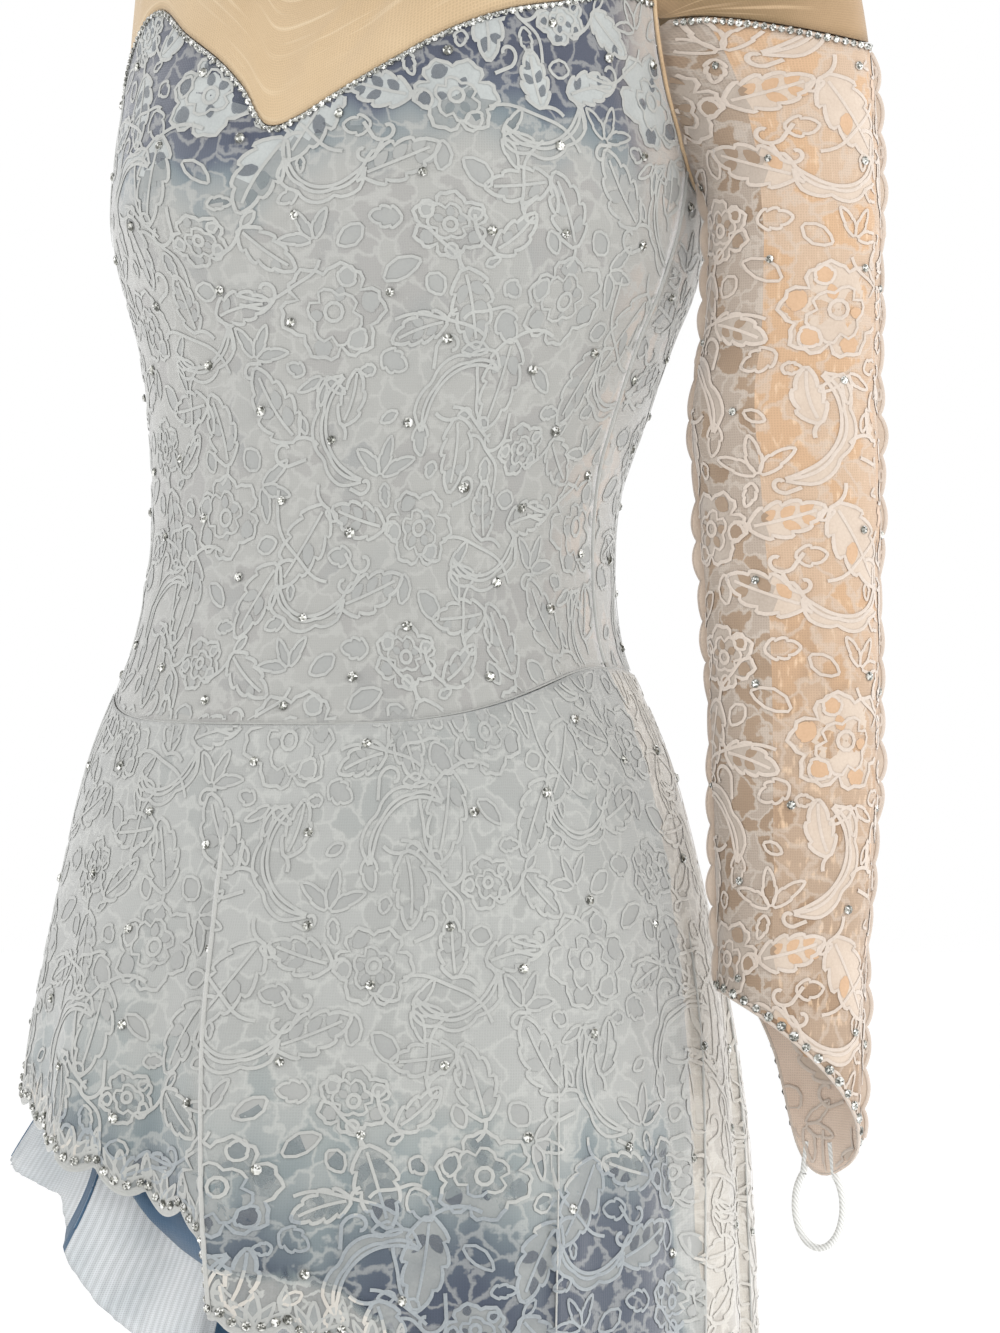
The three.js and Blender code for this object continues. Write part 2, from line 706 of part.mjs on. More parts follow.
function addSkirtLayer(name, colour) {
  const layer = skirtLayers[name];
  const columnTotal = skirtColumnAngles.length;
  const geometry = clothWallGeometry(columnTotal, layer.rows, (round, down) => (
    skirtPoint(layer, skirtColumnAngles[Math.round(round * columnTotal)], down ** 1.15)
  ), { wrapped: true });
  addPiece(name, geometry, colour);
}

addPiece('yoke_front', clothWallGeometry(frontColumns, 6, yokeFrontPoint), colours.nude);
addPiece('yoke_back', clothWallGeometry(yokeBackColumns, 5, yokeBackPoint), colours.nude);
addPiece('bodice_front', clothWallGeometry(frontColumns, 11, bodiceFrontPoint), colours.lace);
addPiece('bodice_back', clothWallGeometry(backColumns, 9, bodiceBackPoint), colours.lace);
addSleeve('left');
addSleeve('right');
addFingerLoop('left');
addFingerLoop('right');
addSkirtLayer('skirt_lace', colours.lace);
addSkirtLayer('skirt_lining', colours.lining);
addSkirtLayer('skirt_mesh', colours.organza);

export default dress;
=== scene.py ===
import math

import bpy
import numpy as np
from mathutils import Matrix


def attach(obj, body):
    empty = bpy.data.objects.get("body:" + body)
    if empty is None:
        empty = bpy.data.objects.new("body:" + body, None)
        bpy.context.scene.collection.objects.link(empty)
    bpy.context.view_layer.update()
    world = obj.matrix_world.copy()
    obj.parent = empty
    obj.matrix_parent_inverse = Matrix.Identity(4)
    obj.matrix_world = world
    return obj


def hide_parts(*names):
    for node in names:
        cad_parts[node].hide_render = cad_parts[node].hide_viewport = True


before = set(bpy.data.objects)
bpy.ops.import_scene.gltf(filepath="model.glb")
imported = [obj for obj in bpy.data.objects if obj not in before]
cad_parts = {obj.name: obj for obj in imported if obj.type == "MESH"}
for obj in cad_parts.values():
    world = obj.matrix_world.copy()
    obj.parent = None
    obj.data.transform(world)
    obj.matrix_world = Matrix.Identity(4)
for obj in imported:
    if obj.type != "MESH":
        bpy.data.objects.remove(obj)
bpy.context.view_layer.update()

scene = bpy.context.scene
scene.view_settings.view_transform = "Standard"
scene.cycles.transparent_max_bounces = 24

# Lengths are millimetres up to the moment a mesh is made. Front is -Y, the wearer's left is +X.
metre = 0.001
degree = math.pi / 180


# The camera stands level with the waist, a little to the wearer's left of the front.
camera = {"azimuth": 30, "distance": 2500, "target": (39.7, 22.9, -465.6), "lens": 138.4}


def addCamera():
    data = bpy.data.cameras.new("camera")
    data.lens = camera["lens"]
    data.sensor_width = 36
    data.clip_end = 50
    item = bpy.data.objects.new("camera", data)
    scene.collection.objects.link(item)
    turn = camera["azimuth"] * degree
    x, y, z = camera["target"]
    item.location = ((x + camera["distance"] * math.sin(turn)) * metre,
                     (y - camera["distance"] * math.cos(turn)) * metre, z * metre)
    item.rotation_euler = (math.pi / 2, 0, turn)
    scene.camera = item


addCamera()
print("camera is set")


# Helpers for reading tables and for simple curves.
def lerp(start, end, part):
    return start + (end - start) * part


def smooth(value):
    value = np.clip(value, 0, 1)
    return value * value * (3 - 2 * value)


# Smooth reading of one column of a table whose key column rises or falls throughout.
def readTable(table, key, at, column):
    keys = np.array(table[key], float)
    values = np.array(table[column], float)
    at = np.asarray(at, float)
    if keys[0] > keys[-1]:
        keys, at = -keys, -at
    last = len(keys) - 1
    here = np.clip(np.searchsorted(keys, at) - 1, 0, last - 1)
    before, after = np.maximum(here - 1, 0), np.minimum(here + 2, last)
    span = keys[here + 1] - keys[here]
    part = np.clip((at - keys[here]) / span, 0, 1)
    startSlope = (values[here + 1] - values[before]) / (keys[here + 1] - keys[before]) * span
    endSlope = (values[after] - values[here]) / (keys[after] - keys[here]) * span
    square, cube = part ** 2, part ** 3
    return ((2 * cube - 3 * square + 1) * values[here] + (cube - 2 * square + part) * startSlope
            + (3 * square - 2 * cube) * values[here + 1] + (cube - square) * endSlope)


def stack(x, y, z):
    return np.stack(np.broadcast_arrays(x, y, z), axis=-1).astype(float)


def unit(vectors):
    return vectors / np.maximum(np.linalg.norm(vectors, axis=-1, keepdims=True), 1e-9)


# Direction of a line at each of its points.
def slopes(line, closed=False):
    if closed:
        return unit(np.roll(line, -1, axis=0) - np.roll(line, 1, axis=0))
    return unit(np.gradient(line, axis=0))


# The same turned left by a quarter, for lines drawn flat.
def leftOf(line, closed=False):
    slope = slopes(line, closed)
    return np.stack((-slope[:, 1], slope[:, 0]), -1)


# Two directions square to each given one.
def squareTo(directions):
    guide = np.where(np.abs(directions[:, 2:3]) > 0.9, (1.0, 0, 0), (0, 0, 1.0))
    first = unit(np.cross(directions, guide))
    return first, np.cross(directions, first)


def bezier(a, b, c, d, part):
    part = np.asarray(part, float)[..., None]
    rest = 1 - part
    return rest ** 3 * a + 3 * rest ** 2 * part * b + 3 * rest * part ** 2 * c + part ** 3 * d


# Soft troughs and ridges: place, half length, half width, direction in degrees and height.
def creaseHeight(creases, across, along):
    height = np.zeros(np.broadcast(across, along).shape)
    for x, y, halfLength, halfWidth, direction, rise in creases:
        cosine, sine = math.cos(direction * degree), math.sin(direction * degree)
        lengthwise = (across - x) * cosine + (along - y) * sine
        sideways = (along - y) * cosine - (across - x) * sine
        height = height + rise * np.exp(-(lengthwise / halfLength) ** 4 - (sideways / halfWidth) ** 2)
    return height


# The worn body form is a stack of rings, with gaps in mm between the pieces that lie on it.
gaps = {"seam": 0.3, "side": 0.9, "shoulder": 0.8, "layerPitch": 2.2, "armhole": 1.2}
bodySections = {
    "z": (-20, -60, -100, -146, -189, -214, -250, -282, -311, -350, -384, -419, -453, -477, -505),
    "halfWidth": (158, 149, 142, 139, 143, 147, 149, 144, 134, 124, 116.5, 115, 119.5, 128, 139),
    "halfDepth": (64, 80, 92, 100, 106, 109, 110, 106, 100, 93, 89, 90, 95, 101, 110),
    "centreY": (22, 12, 3, -4, -4, -3, -4, -3, -7, -15, -24, -28, -32, -33, -31),
}
roundness = {"front": 2.1, "back": 2.5}
cup = {"x": 70, "z": -236, "rise": 13, "spreadX": 46, "spreadZ": 52}
sweetheart = {
    "angle": (-91, -78, -66, -55, -45, -36, -26, -15, -8, -3, 3, 10, 20, 33, 46, 60, 76, 91),
    "z": (-215, -206, -188, -168, -153, -150, -163, -178, -193, -211, -208, -199, -186, -170, -160, -155, -149, -151),
}
backEdge = {"centreZ": -166, "sideZ": -158}
sideSeam = {"z": (-232, -250, -282, -350, -395, -490), "angle": (95, 93, 90, 89, 92, 94)}
waistSeam = {"sideZ": -466, "frontZ": -492, "backZ": -474}
armhole = {"centreY": 27, "centreZ": -137, "halfDepth": 32, "halfHeight": 102}
neck = {"halfWidth": 76, "sideY": 12, "sideZ": 5, "frontY": -72, "frontZ": -88, "backY": 64, "backZ": -38}
bodyRadius = 135  # turns an angle round the body into cloth width
# angle across in cloth mm, depth below the origin, half length, half width, direction, height
bodyCreases = (
    (-150, 300, 60, 9, 68, -1.3), (-60, 330, 70, 10, 78, 0.9), (30, 300, 60, 9, 100, -0.9),
    (100, 330, 66, 8, 112, 1.2), (150, 300, 50, 7, 105, -1.2), (-20, 430, 80, 9, 4, -0.9),
    (-130, 428, 40, 7, 12, 1.1), (120, 430, 50, 7, -10, -1.2), (60, 455, 50, 6, -6, 0.9),
    (-90, 250, 26, 6, 40, 0.8), (80, 262, 30, 7, 140, 0.7), (0, 235, 26, 8, 90, -1.4),
    (300, 330, 70, 9, 84, 1.1), (360, 300, 60, 10, 96, -1.0), (420, 340, 80, 9, 90, 1.2),
    (480, 300, 60, 9, 84, -1.1), (540, 330, 60, 8, 95, 1.0), (420, 440, 60, 7, 3, -1.1),
    (330, 425, 40, 7, 12, 1.0), (500, 430, 44, 7, -10, 1.0),
)


def readSection(table, z):
    return {name: readTable(table, "z", z, name) for name in ("halfWidth", "halfDepth", "centreY")}


def sectionPoint(section, angle, z, inset=0.0):
    across, forward = np.sin(angle * degree), np.cos(angle * degree)
    power = np.where(forward > 0, 2 / roundness["front"], 2 / roundness["back"])
    x = (section["halfWidth"] - inset) * np.sign(across) * np.abs(across) ** power
    y = section["centreY"] - (section["halfDepth"] - inset) * np.sign(forward) * np.abs(forward) ** power
    return stack(x, y, z)


def bodyPoint(angle, z):
    angle, z = np.broadcast_arrays(np.asarray(angle, float), np.asarray(z, float))
    point = sectionPoint(readSection(bodySections, z), angle, z)
    sideways = (np.abs(point[..., 0]) - cup["x"]) / cup["spreadX"]
    upward = (z - cup["z"]) / cup["spreadZ"]
    front = np.sqrt(np.maximum(np.cos(angle * degree), 0))
    bulge = cup["rise"] * np.exp(-sideways ** 2 - upward ** 2) * front
    point[..., 0] *= 1 + 0.3 * bulge / cup["x"]
    point[..., 1] -= bulge
    return point


# The same form with its cloth creases.
def bodyCloth(angle, z):
    point = bodyPoint(angle, z)
    away = unit(point * (1, 1, 0) - (0, -15, 0))
    around = np.mod(np.asarray(angle, float) + 100, 360) - 100
    rise = creaseHeight(bodyCreases, around * degree * bodyRadius, -np.asarray(z, float))
    return point + away * rise[..., None]


def angleAtDepth(y, z):
    section = readSection(bodySections, z)
    part = np.clip(np.abs(y - section["centreY"]) / section["halfDepth"], 0, 1)
    power = np.where(y < section["centreY"], roundness["front"], roundness["back"]) / 2
    return 90 + np.sign(y - section["centreY"]) * np.arcsin(part ** power) / degree


# Armhole edge: turn 0 is the shoulder tip, 90 the front and 180 the underarm.
def armholePlace(turn):
    turn = np.asarray(turn, float)
    y = armhole["centreY"] - armhole["halfDepth"] * np.sin(turn * degree)
    z = armhole["centreZ"] + armhole["halfHeight"] * np.cos(turn * degree)
    return angleAtDepth(y, z), z


def armholePoint(side, turn):
    point = bodyPoint(*armholePlace(turn))
    point[..., 0] *= side
    return point


def turnAtHeight(z):
    return np.arccos(np.clip((np.asarray(z, float) - armhole["centreZ"]) / armhole["halfHeight"], -1, 1)) / degree


def sideAngle(z):
    z = np.asarray(z, float)
    return np.where(z > sideSeam["z"][0], armholePlace(turnAtHeight(z))[0], readTable(sideSeam, "z", z, "angle"))


def waistZ(angle):
    forward = np.cos(np.asarray(angle, float) * degree)
    end = np.where(forward > 0, waistSeam["frontZ"], waistSeam["backZ"])
    return lerp(waistSeam["sideZ"], end, smooth(np.abs(forward)))


widestAngle = sweetheart["angle"][-1]
waistSideAngle = sideSeam["angle"][-1]
sideGapAngle = gaps["side"] / (bodySections["halfWidth"][0] * degree)


def frontEdge(part):
    steps = len(sweetheart["angle"]) - 1
    angle = np.interp(np.asarray(part, float) * steps, np.arange(steps + 1), sweetheart["angle"])
    return angle, readTable(sweetheart, "angle", angle, "z")


# Place on the front bodice, as an angle round the body and a height.
def bodiceFrontPlace(across, down):
    edgeAngle, edgeZ = frontEdge(across)
    share = edgeAngle / widestAngle
    z = lerp(edgeZ - gaps["seam"], waistZ(share * waistSideAngle) + gaps["seam"], down)
    return share * (sideAngle(z) - sideGapAngle), z


def backEdgeZ(angle):
    return lerp(backEdge["centreZ"], backEdge["sideZ"], smooth(np.abs(angle - 180) / 60))


backCornerTurn = 360 - turnAtHeight(backEdge["sideZ"])
backCornerAngle = armholePlace(backCornerTurn)[0]
underarmTurn = turnAtHeight(sideSeam["z"][0])
armholeShare = 0.2


# Upper edge of the back bodice: armhole, back edge, armhole.
def backTopPlace(part):
    part = np.asarray(part, float)
    mirrored = np.minimum(part, 1 - part)
    armAngle, armZ = armholePlace(lerp(underarmTurn, backCornerTurn, mirrored / armholeShare))
    across = (mirrored - armholeShare) / (1 - 2 * armholeShare)
    middleAngle = lerp(backCornerAngle, 360 - backCornerAngle, across)
    onArm = mirrored < armholeShare
    angle = np.where(onArm, armAngle, middleAngle)
    z = np.where(onArm, armZ, backEdgeZ(middleAngle))
    return np.where(part > 0.5, 360 - angle, angle), z


def bodiceBackPlace(across, down):
    topAngle, topZ = backTopPlace(across)
    bottomAngle = lerp(waistSideAngle, 360 - waistSideAngle, across)
    z = lerp(topZ - gaps["seam"], waistZ(bottomAngle) + gaps["seam"], down)
    hug = smooth(1 - np.minimum(across, 1 - across) / 0.25)
    plain = lerp(backTopPlace(0)[0], waistSideAngle, down)
    shift = (sideAngle(np.minimum(z, sideSeam["z"][0])) - plain + sideGapAngle) * hug
    return lerp(topAngle, bottomAngle, down) + np.where(across < 0.5, shift, -shift), z


# The yoke's upper edge runs along the neck up to this share of it and then along the shoulder.
neckShare = 0.5


def yokeTopPoint(part, end):
    part = np.asarray(part, float)
    reach, side = np.abs(part), np.where(part < 0, -1, 1)
    sweep = np.clip(reach / neckShare, 0, 1) * 90 * degree
    onNeck = stack(neck["halfWidth"] * np.sin(sweep), lerp(neck["sideY"], end[0], np.cos(sweep)),
                   lerp(neck["sideZ"], end[1], np.cos(sweep)))
    along = np.clip((reach - neckShare) / (1 - neckShare), 0, 1)
    seam = np.array((neck["halfWidth"], neck["sideY"], neck["sideZ"]), float)
    onShoulder = lerp(seam, armholePoint(1, 0), along[..., None])
    onShoulder[..., 2] += 4 * np.sin(along * math.pi)
    point = np.where((reach <= neckShare)[..., None], onNeck, onShoulder)
    point[..., 0] *= side
    return point


# Each yoke column is a curve from the neck or shoulder seam to the bodice edge.
def yokePoint(part, down, end, bottomPlace, sideCurve):
    part, down = np.broadcast_arrays(np.asarray(part, float), np.asarray(down, float))
    forward = -1 if end[0] < 0 else 1
    over = smooth((np.abs(part) - 0.1) / 0.6)
    top = yokeTopPoint(part, end)
    top[..., 1] += forward * gaps["shoulder"] * over
    bottom = bodyPoint(*bottomPlace)
    upward = unit(bodyPoint(bottomPlace[0], bottomPlace[1] + 12) - bottom)
    length = np.linalg.norm(top - bottom, axis=-1)[..., None]
    leave = unit(stack(0, forward * lerp(0.35, 1, over), -lerp(1, 0.25, over)))
    firstReach = lerp(0.33, 0.45, over)[..., None]
    point = bezier(top, top + leave * length * firstReach, bottom + upward * length * 0.4, bottom, down)
    side = np.where(part < 0, -1, 1)
    share = smooth((np.abs(part) - 0.7) / 0.3)[..., None]
    edgeTop, edgeBottom = sideCurve(side, np.zeros_like(down)), sideCurve(side, np.ones_like(down))
    edgeLength = np.linalg.norm(edgeTop - edgeBottom, axis=-1)[..., None]
    edgeLeave = unit(np.array((0, forward, -0.25)))
    plain = bezier(edgeTop, edgeTop + edgeLeave * edgeLength * 0.45,
                   edgeBottom + np.array((0, 0, 0.4)) * edgeLength, edgeBottom, down)
    return point + (sideCurve(side, down) - plain) * share


def frontArmholeCurve(side, down):
    edgeZ = np.where(side > 0, sweetheart["z"][-1], sweetheart["z"][0])
    return armholePoint(side, lerp(2, turnAtHeight(edgeZ + gaps["seam"]), down))


def backArmholeCurve(side, down):
    return armholePoint(side, lerp(358, 360 - turnAtHeight(backEdge["sideZ"] + gaps["seam"]), down))


# across in mm from the centre, down in mm from the neck, half length, half width, direction, height
yokeCreases = {
    "front": ((-60, 60, 40, 6, 62, -1.6), (-30, 76, 34, 5, 40, 1.3), (-96, 70, 36, 6, 78, 1.8),
              (40, 70, 40, 5, 128, -1.5), (70, 62, 40, 6, 118, 1.7), (112, 60, 44, 5, 98, -2.4),
              (128, 62, 46, 4, 95, 2.6), (142, 70, 36, 4, 92, -1.8), (-128, 60, 40, 5, 85, 1.8),
              (8, 90, 18, 5, 95, 1.0), (-46, 40, 34, 1.7, 58, 0.7), (-52, 62, 30, 1.4, 66, -0.6),
              (-38, 70, 26, 1.5, 55, 0.6), (22, 64, 30, 1.6, 124, 0.6), (36, 50, 34, 1.5, 128, 0.7),
              (48, 76, 24, 1.4, 120, -0.6), (118, 60, 34, 1.8, 99, 1.0), (134, 66, 34, 1.7, 96, -1.0)),
    "back": ((-70, 50, 40, 7, 64, 1.4), (-110, 60, 40, 6, 82, -1.5), (60, 50, 40, 7, 118, 1.3),
             (112, 60, 40, 6, 98, 1.6), (0, 60, 30, 8, 90, -1.0), (-30, 70, 36, 6, 30, 1.0)),
}
yokeSpread = {"across": 165, "down": 105}


def yokeFrontCloth(across, down):
    edgeAngle, edgeZ = frontEdge(across)
    part = edgeAngle / widestAngle
    place = (part * (sideAngle(edgeZ) - sideGapAngle), edgeZ + gaps["seam"])
    point = yokePoint(part, down, (neck["frontY"], neck["frontZ"]), place, frontArmholeCurve)
    return yokeWithCreases(point, part, down, "front", -1)


def yokeBackCloth(across, down):
    part = 1 - 2 * np.asarray(across, float)
    angle = lerp(backCornerAngle, 360 - backCornerAngle, across)
    place = (angle, backEdgeZ(angle) + gaps["seam"])
    point = yokePoint(part, down, (neck["backY"], neck["backZ"]), place, backArmholeCurve)
    return yokeWithCreases(point, part, down, "back", 1)


def yokeWithCreases(point, part, down, name, forward):
    rise = creaseHeight(yokeCreases[name], part * yokeSpread["across"], np.asarray(down) * yokeSpread["down"])
    fade = smooth(np.asarray(down) / 0.12) * smooth((1 - np.asarray(down)) / 0.12) * smooth((1 - np.abs(part)) / 0.08)
    direction = unit(np.array((0, forward, 0.35)))
    return point + direction * (rise * fade)[..., None]


# Each sleeve hangs in rings that are turned by the angle called facing.
sleeves = {
    "left": {
        "side": 1, "startZ": -268, "bandZ": -160, "outward": (1, 0, 0.35),
        "sections": {
            "z": (-268, -311, -345, -384, -453, -531, -600, -720),
            "x": (203, 203, 201, 205, 211, 214, 214, 210),
            "y": (17, 14, 10, 6, 0, -5, -7, -6),
            "outer": (42, 43, 45, 44, 41, 39, 36, 34),
            "across": (31, 31, 32, 31, 29, 27, 25, 23),
            "facing": (0, 0, 2, 4, 6, 6, 5, 4),
        },
    },
    "right": {
        "side": -1, "startZ": -300, "bandZ": -162, "outward": (0.8, 0.6, 0.3),
        "sections": {
            "z": (-300, -345, -384, -453, -531, -600, -720),
            "x": (-150, -143, -138, -138, -146, -153, -158),
            "y": (106, 108, 108, 114, 135, 154, 168),
            "outer": (42, 44, 44, 42, 39, 36, 34),
            "across": (29, 30, 29, 28, 26, 24, 22),
            "facing": (48, 50, 52, 54, 54, 52, 50),
        },
    },
}
cuff = {"highZ": -615, "pointTurn": -78}
cuffEdge = {
    "turn": (-180, -142, -118, -97, -78, -50, -20, 0, 45, 90, 135, 180),
    "drop": (2, 8, 32, 76, 89, 85, 74, 63, 38, 16, 4, 2),
}
bandDroop = 14
# turn in degrees, depth, half length in depth, half width in degrees, lean, height
sleeveCreases = (
    (60, 300, 30, 12, 0, -1.2), (110, 330, 40, 10, 0, 1.2), (-10, 360, 50, 12, 0, 0.9),
    (40, 420, 60, 12, 0, -1.0), (120, 450, 44, 10, 0, 1.3), (-60, 400, 60, 14, 0, 1.0),
    (160, 380, 40, 12, 0, -1.0), (20, 520, 50, 12, 0, 0.9), (90, 560, 44, 10, 0, -1.1),
    (-120, 480, 60, 14, 0, 1.0), (-30, 600, 40, 12, 0, -0.8), (75, 250, 30, 10, 0, 1.2),
)


def sleeveSectionPoint(sleeve, turn, z):
    turn, z = np.broadcast_arrays(np.asarray(turn, float), np.asarray(z, float))
    table, side = sleeve["sections"], sleeve["side"]
    facing = readTable(table, "z", z, "facing") * degree
    outward = stack(side * np.cos(facing), np.sin(facing), 0)
    forward = stack(side * np.sin(facing), -np.cos(facing), 0)
    point = stack(readTable(table, "z", z, "x"), readTable(table, "z", z, "y"), z)
    point += outward * (readTable(table, "z", z, "outer") * np.cos(turn * degree))[..., None]
    return point + forward * (readTable(table, "z", z, "across") * np.sin(turn * degree))[..., None]


def cuffZ(turn):
    wrapped = np.mod(np.asarray(turn, float) + 540, 360) - 180
    return cuff["highZ"] - readTable(cuffEdge, "turn", wrapped, "drop")


# Upper part of a sleeve: part 0 is the armhole and 1 the first hanging section.
def sleeveUpperPoint(sleeve, turn, part):
    turn = np.asarray(turn, float)
    start = armholePoint(sleeve["side"], turn)
    section = readSection(bodySections, start[..., 2])
    away = unit(stack(start[..., 0] / section["halfWidth"] ** 2,
                      (start[..., 1] - section["centreY"]) / section["halfDepth"] ** 2, 0))
    start = start + away * gaps["armhole"]
    end = sleeveSectionPoint(sleeve, turn, np.full(turn.shape, float(sleeve["startZ"])))
    length = np.linalg.norm(end - start, axis=-1)[..., None] / 3
    underarm = smooth(0.5 - 0.5 * np.cos(turn * degree))
    outX, outY, outDown = sleeve["outward"]
    leave = unit(stack(sleeve["side"] * outX, outY, -lerp(outDown, 0.8, underarm)))
    return bezier(start, start + leave * length, end + np.array((0, 0, 1)) * length, end, part)


# The sleeve at a height: its upper curve is searched for that height.
def sleeveAtHeight(sleeve, turn, z):
    turn, z = np.broadcast_arrays(np.asarray(turn, float), np.asarray(z, float))
    low, high = np.zeros(z.shape), np.ones(z.shape)
    for _ in range(16):
        middle = (low + high) / 2
        above = sleeveUpperPoint(sleeve, turn, middle)[..., 2] > z
        low, high = np.where(above, middle, low), np.where(above, high, middle)
    upper = sleeveUpperPoint(sleeve, turn, (low + high) / 2)
    hanging = sleeveSectionPoint(sleeve, turn, np.minimum(z, sleeve["startZ"]))
    return np.where((z > sleeve["startZ"])[..., None], upper, hanging)


def bandHeight(sleeve, turn):
    return sleeve["bandZ"] - np.maximum(0, bandDroop * np.cos(np.asarray(turn, float) * degree))


def sleeveTopHeight(sleeve, turn):
    return np.minimum(bandHeight(sleeve, turn), armholePlace(turn)[1])


def sleeveCloth(word):
    sleeve = sleeves[word]

    def clothAt(turn, z):
        point = sleeveAtHeight(sleeve, turn, z)
        section = sleeve["sections"]
        level = np.minimum(z, sleeve["startZ"])
        centre = stack(readTable(section, "z", level, "x"), readTable(section, "z", level, "y"), 0)
        away = unit((point - centre) * (1, 1, 0))
        wrapped = np.mod(np.asarray(turn, float) + 180, 360) - 180
        rise = creaseHeight(sleeveCreases, wrapped * 1.0, -np.asarray(z, float))
        fade = smooth((sleeve["bandZ"] - 30 - z) / 50)
        return point + away * (rise * fade)[..., None]

    return clothAt


# The skirt has rings too, soft folds all round and three layers.
skirtSections = {
    "z": (-460, -482, -516, -565, -633, -700, -791, -930),
    "halfWidth": (124, 136, 149, 158, 164, 166, 169, 174),
    "halfDepth": (99, 106, 117, 134, 156, 167, 176, 186),
    "centreY": (-31, -32, -32, -31, -31, -31, -31, -30),
}
skirtFolds = {
    "angle": (-172, -147, -122, -98, -74, -50, -27, -8, 8, 30, 55, 80, 103, 128, 153),
    "spread": (10, 9, 10, 8, 9, 8, 8, 6, 7, 9, 9, 8, 8, 10, 9),
    "rise": (9, 7, 9, 6, 8, 7, 8, -7, 12, 6, 8, 4, 6, 9, 8),
}
skirtLayers = {
    "lace": {"topInset": 0, "hemInset": 0, "hemFlare": 0},
    "lining": {"topInset": 1, "hemInset": 7, "hemFlare": 0},
    "mesh": {"topInset": 2, "hemInset": 13, "hemFlare": 26},
}
hems = {
    "angle": (-180, -135, -95, -62, -50, -40, -30, -20, -10, 2, 5, 7.5, 14, 26, 40, 65, 95, 130, 180),
    "lace": (-742, -672, -640, -655, -669, -680, -689, -697, -708, -718, -725, -757, -763, -769, -786, -828, -860,
             -842, -742),
    "lining": (-722, -664, -634, -642, -652, -664, -676, -690, -722, -736, -738, -738, -740, -746, -774, -806, -828,
               -808, -722),
    "mesh": (-808, -742, -706, -704, -707, -712, -716, -740, -766, -782, -788, -794, -808, -826, -848, -884, -918,
             -902, -808),
}
foldReach = {"startZ": -520, "fullZ": -700}
skirtRadius = 165  # turns an angle round the skirt into cloth width
# Narrow folds of the lace: angle, half width, height, top of the fold
laceFolds = ((-22, 1.3, 2.2, -640), (-19, 1.6, -1.6, -640), (34, 1.6, 2.0, -640),
             (38, 2.0, -1.6, -640), (92, 1.8, 2.4, -560), (-60, 1.8, 2.0, -600),
             (-110, 1.6, 2.2, -600), (-150, 2.0, 2.0, -600), (170, 1.8, 2.4, -580), (135, 1.8, 2.2, -600),
             (66, 2.4, 1.4, -600), (112, 2.2, -1.6, -620))
# Pleats of the sheer layer: angle of the turned flank, its width and its depth
meshPleats = ((-66, 3.2, 7), (-25, 3.6, 8), (6.5, 5.0, 7), (34, 4.2, 8), (62, 4.2, 7), (92, 4.4, 8),
              (122, 4.2, 8), (151, 4.2, 7), (-176, 4.4, 8), (-147, 4.2, 7), (-118, 4.2, 8), (-92, 3.8, 7))


def angleFrom(angle, centre):
    return np.mod(np.asarray(angle, float) - centre + 540, 360) - 180


def hemZ(name, angle):
    return readTable(hems, "angle", angleFrom(angle, 0), name)


def foldRise(angle, z):
    grown = np.clip((foldReach["startZ"] - z) / (foldReach["startZ"] - foldReach["fullZ"]), 0, 1) ** 1.2
    rise = 0
    for centre, spread, height in zip(skirtFolds["angle"], skirtFolds["spread"], skirtFolds["rise"]):
        rise = rise + height * np.exp(-(angleFrom(angle, centre) / spread) ** 2)
    return rise * grown


# Where the lace laps over itself: angle of the lap at the hem, lean in degrees per mm, height, how far
# round it dies away, where it starts, and the radius of its folded edge
laceLaps = ((7.0, -0.045, 6.5, 18, -500, 1.2), (-25.0, -0.02, 4.2, 12, -600, 0.45), (-96, 0, 4.0, 14, -560, 0.6),
            (60, 0.01, 3.6, 14, -600, 0.45), (93, 0.02, 4.0, 12, -540, 0.6), (116, 0.02, 4.0, 15, -560, 0.5),
            (160, 0, 3.6, 14, -560, 0.6), (-138, 0, 4.0, 14, -560, 0.6))
lapFootZ = -757


def narrowFolds(angle, z):
    rise = 0
    for centre, lean, height, reach, topZ, _ in laceLaps:
        away = angleFrom(angle, centre + lean * (z - lapFootZ))
        rise = rise + height * smooth((topZ - z) / 140) * smooth(away / 0.9) * np.exp(-np.maximum(away, 0) / reach)
    for centre, spread, height, topZ in laceFolds:
        grown = smooth((topZ - z) / 110)
        rise = rise + height * grown * np.exp(-np.abs(angleFrom(angle, centre) / spread) ** 1.6)
    return rise


def pleatRise(angle, z, lineZ):
    grown = smooth((lineZ - z) / 60)
    rise = 0
    for centre, width, depth in meshPleats:
        away = angleFrom(angle, centre)
        flank = np.clip(away / width, 0, 1)
        rise = rise + depth * (flank - smooth((away - width) / 18)) * (away > 0)
    return rise * grown


def skirtCloth(name):
    layer = skirtLayers[name]

    def clothAt(angle, z):
        angle, z = np.broadcast_arrays(np.asarray(angle, float), np.asarray(z, float))
        top = waistZ(angle) - gaps["seam"] - gaps["layerPitch"] * 0.4 * layer["topInset"]
        hang = smooth((top - z) / 150)
        below = smooth((hemZ("lace", angle) - z) / 70)
        inset = gaps["layerPitch"] * layer["topInset"] + layer["hemInset"] * hang - layer["hemFlare"] * below
        point = sectionPoint(readSection(skirtSections, z), angle, z, inset)
        outward = unit(point * (1, 1, 0) - (0, skirtSections["centreY"][0], 0))
        rise = foldRise(angle, z) - 4
        if name == "lace":
            rise = rise + narrowFolds(angle, z)
        if name == "mesh":
            rise = rise + pleatRise(angle, z, hemZ("lace", angle) + 40) * 0.8
            fine = 0.5 * np.sin(angle * 2.17) + 0.4 * np.sin(angle * 1.31 + 1) + 0.3 * np.sin(angle * 3.3)
            rise = rise + fine * below
        return point + outward * np.asarray(rise)[..., None]

    return clothAt


def skirtTop(name, angle):
    return waistZ(angle) - gaps["seam"] - gaps["layerPitch"] * 0.4 * skirtLayers[name]["topInset"]


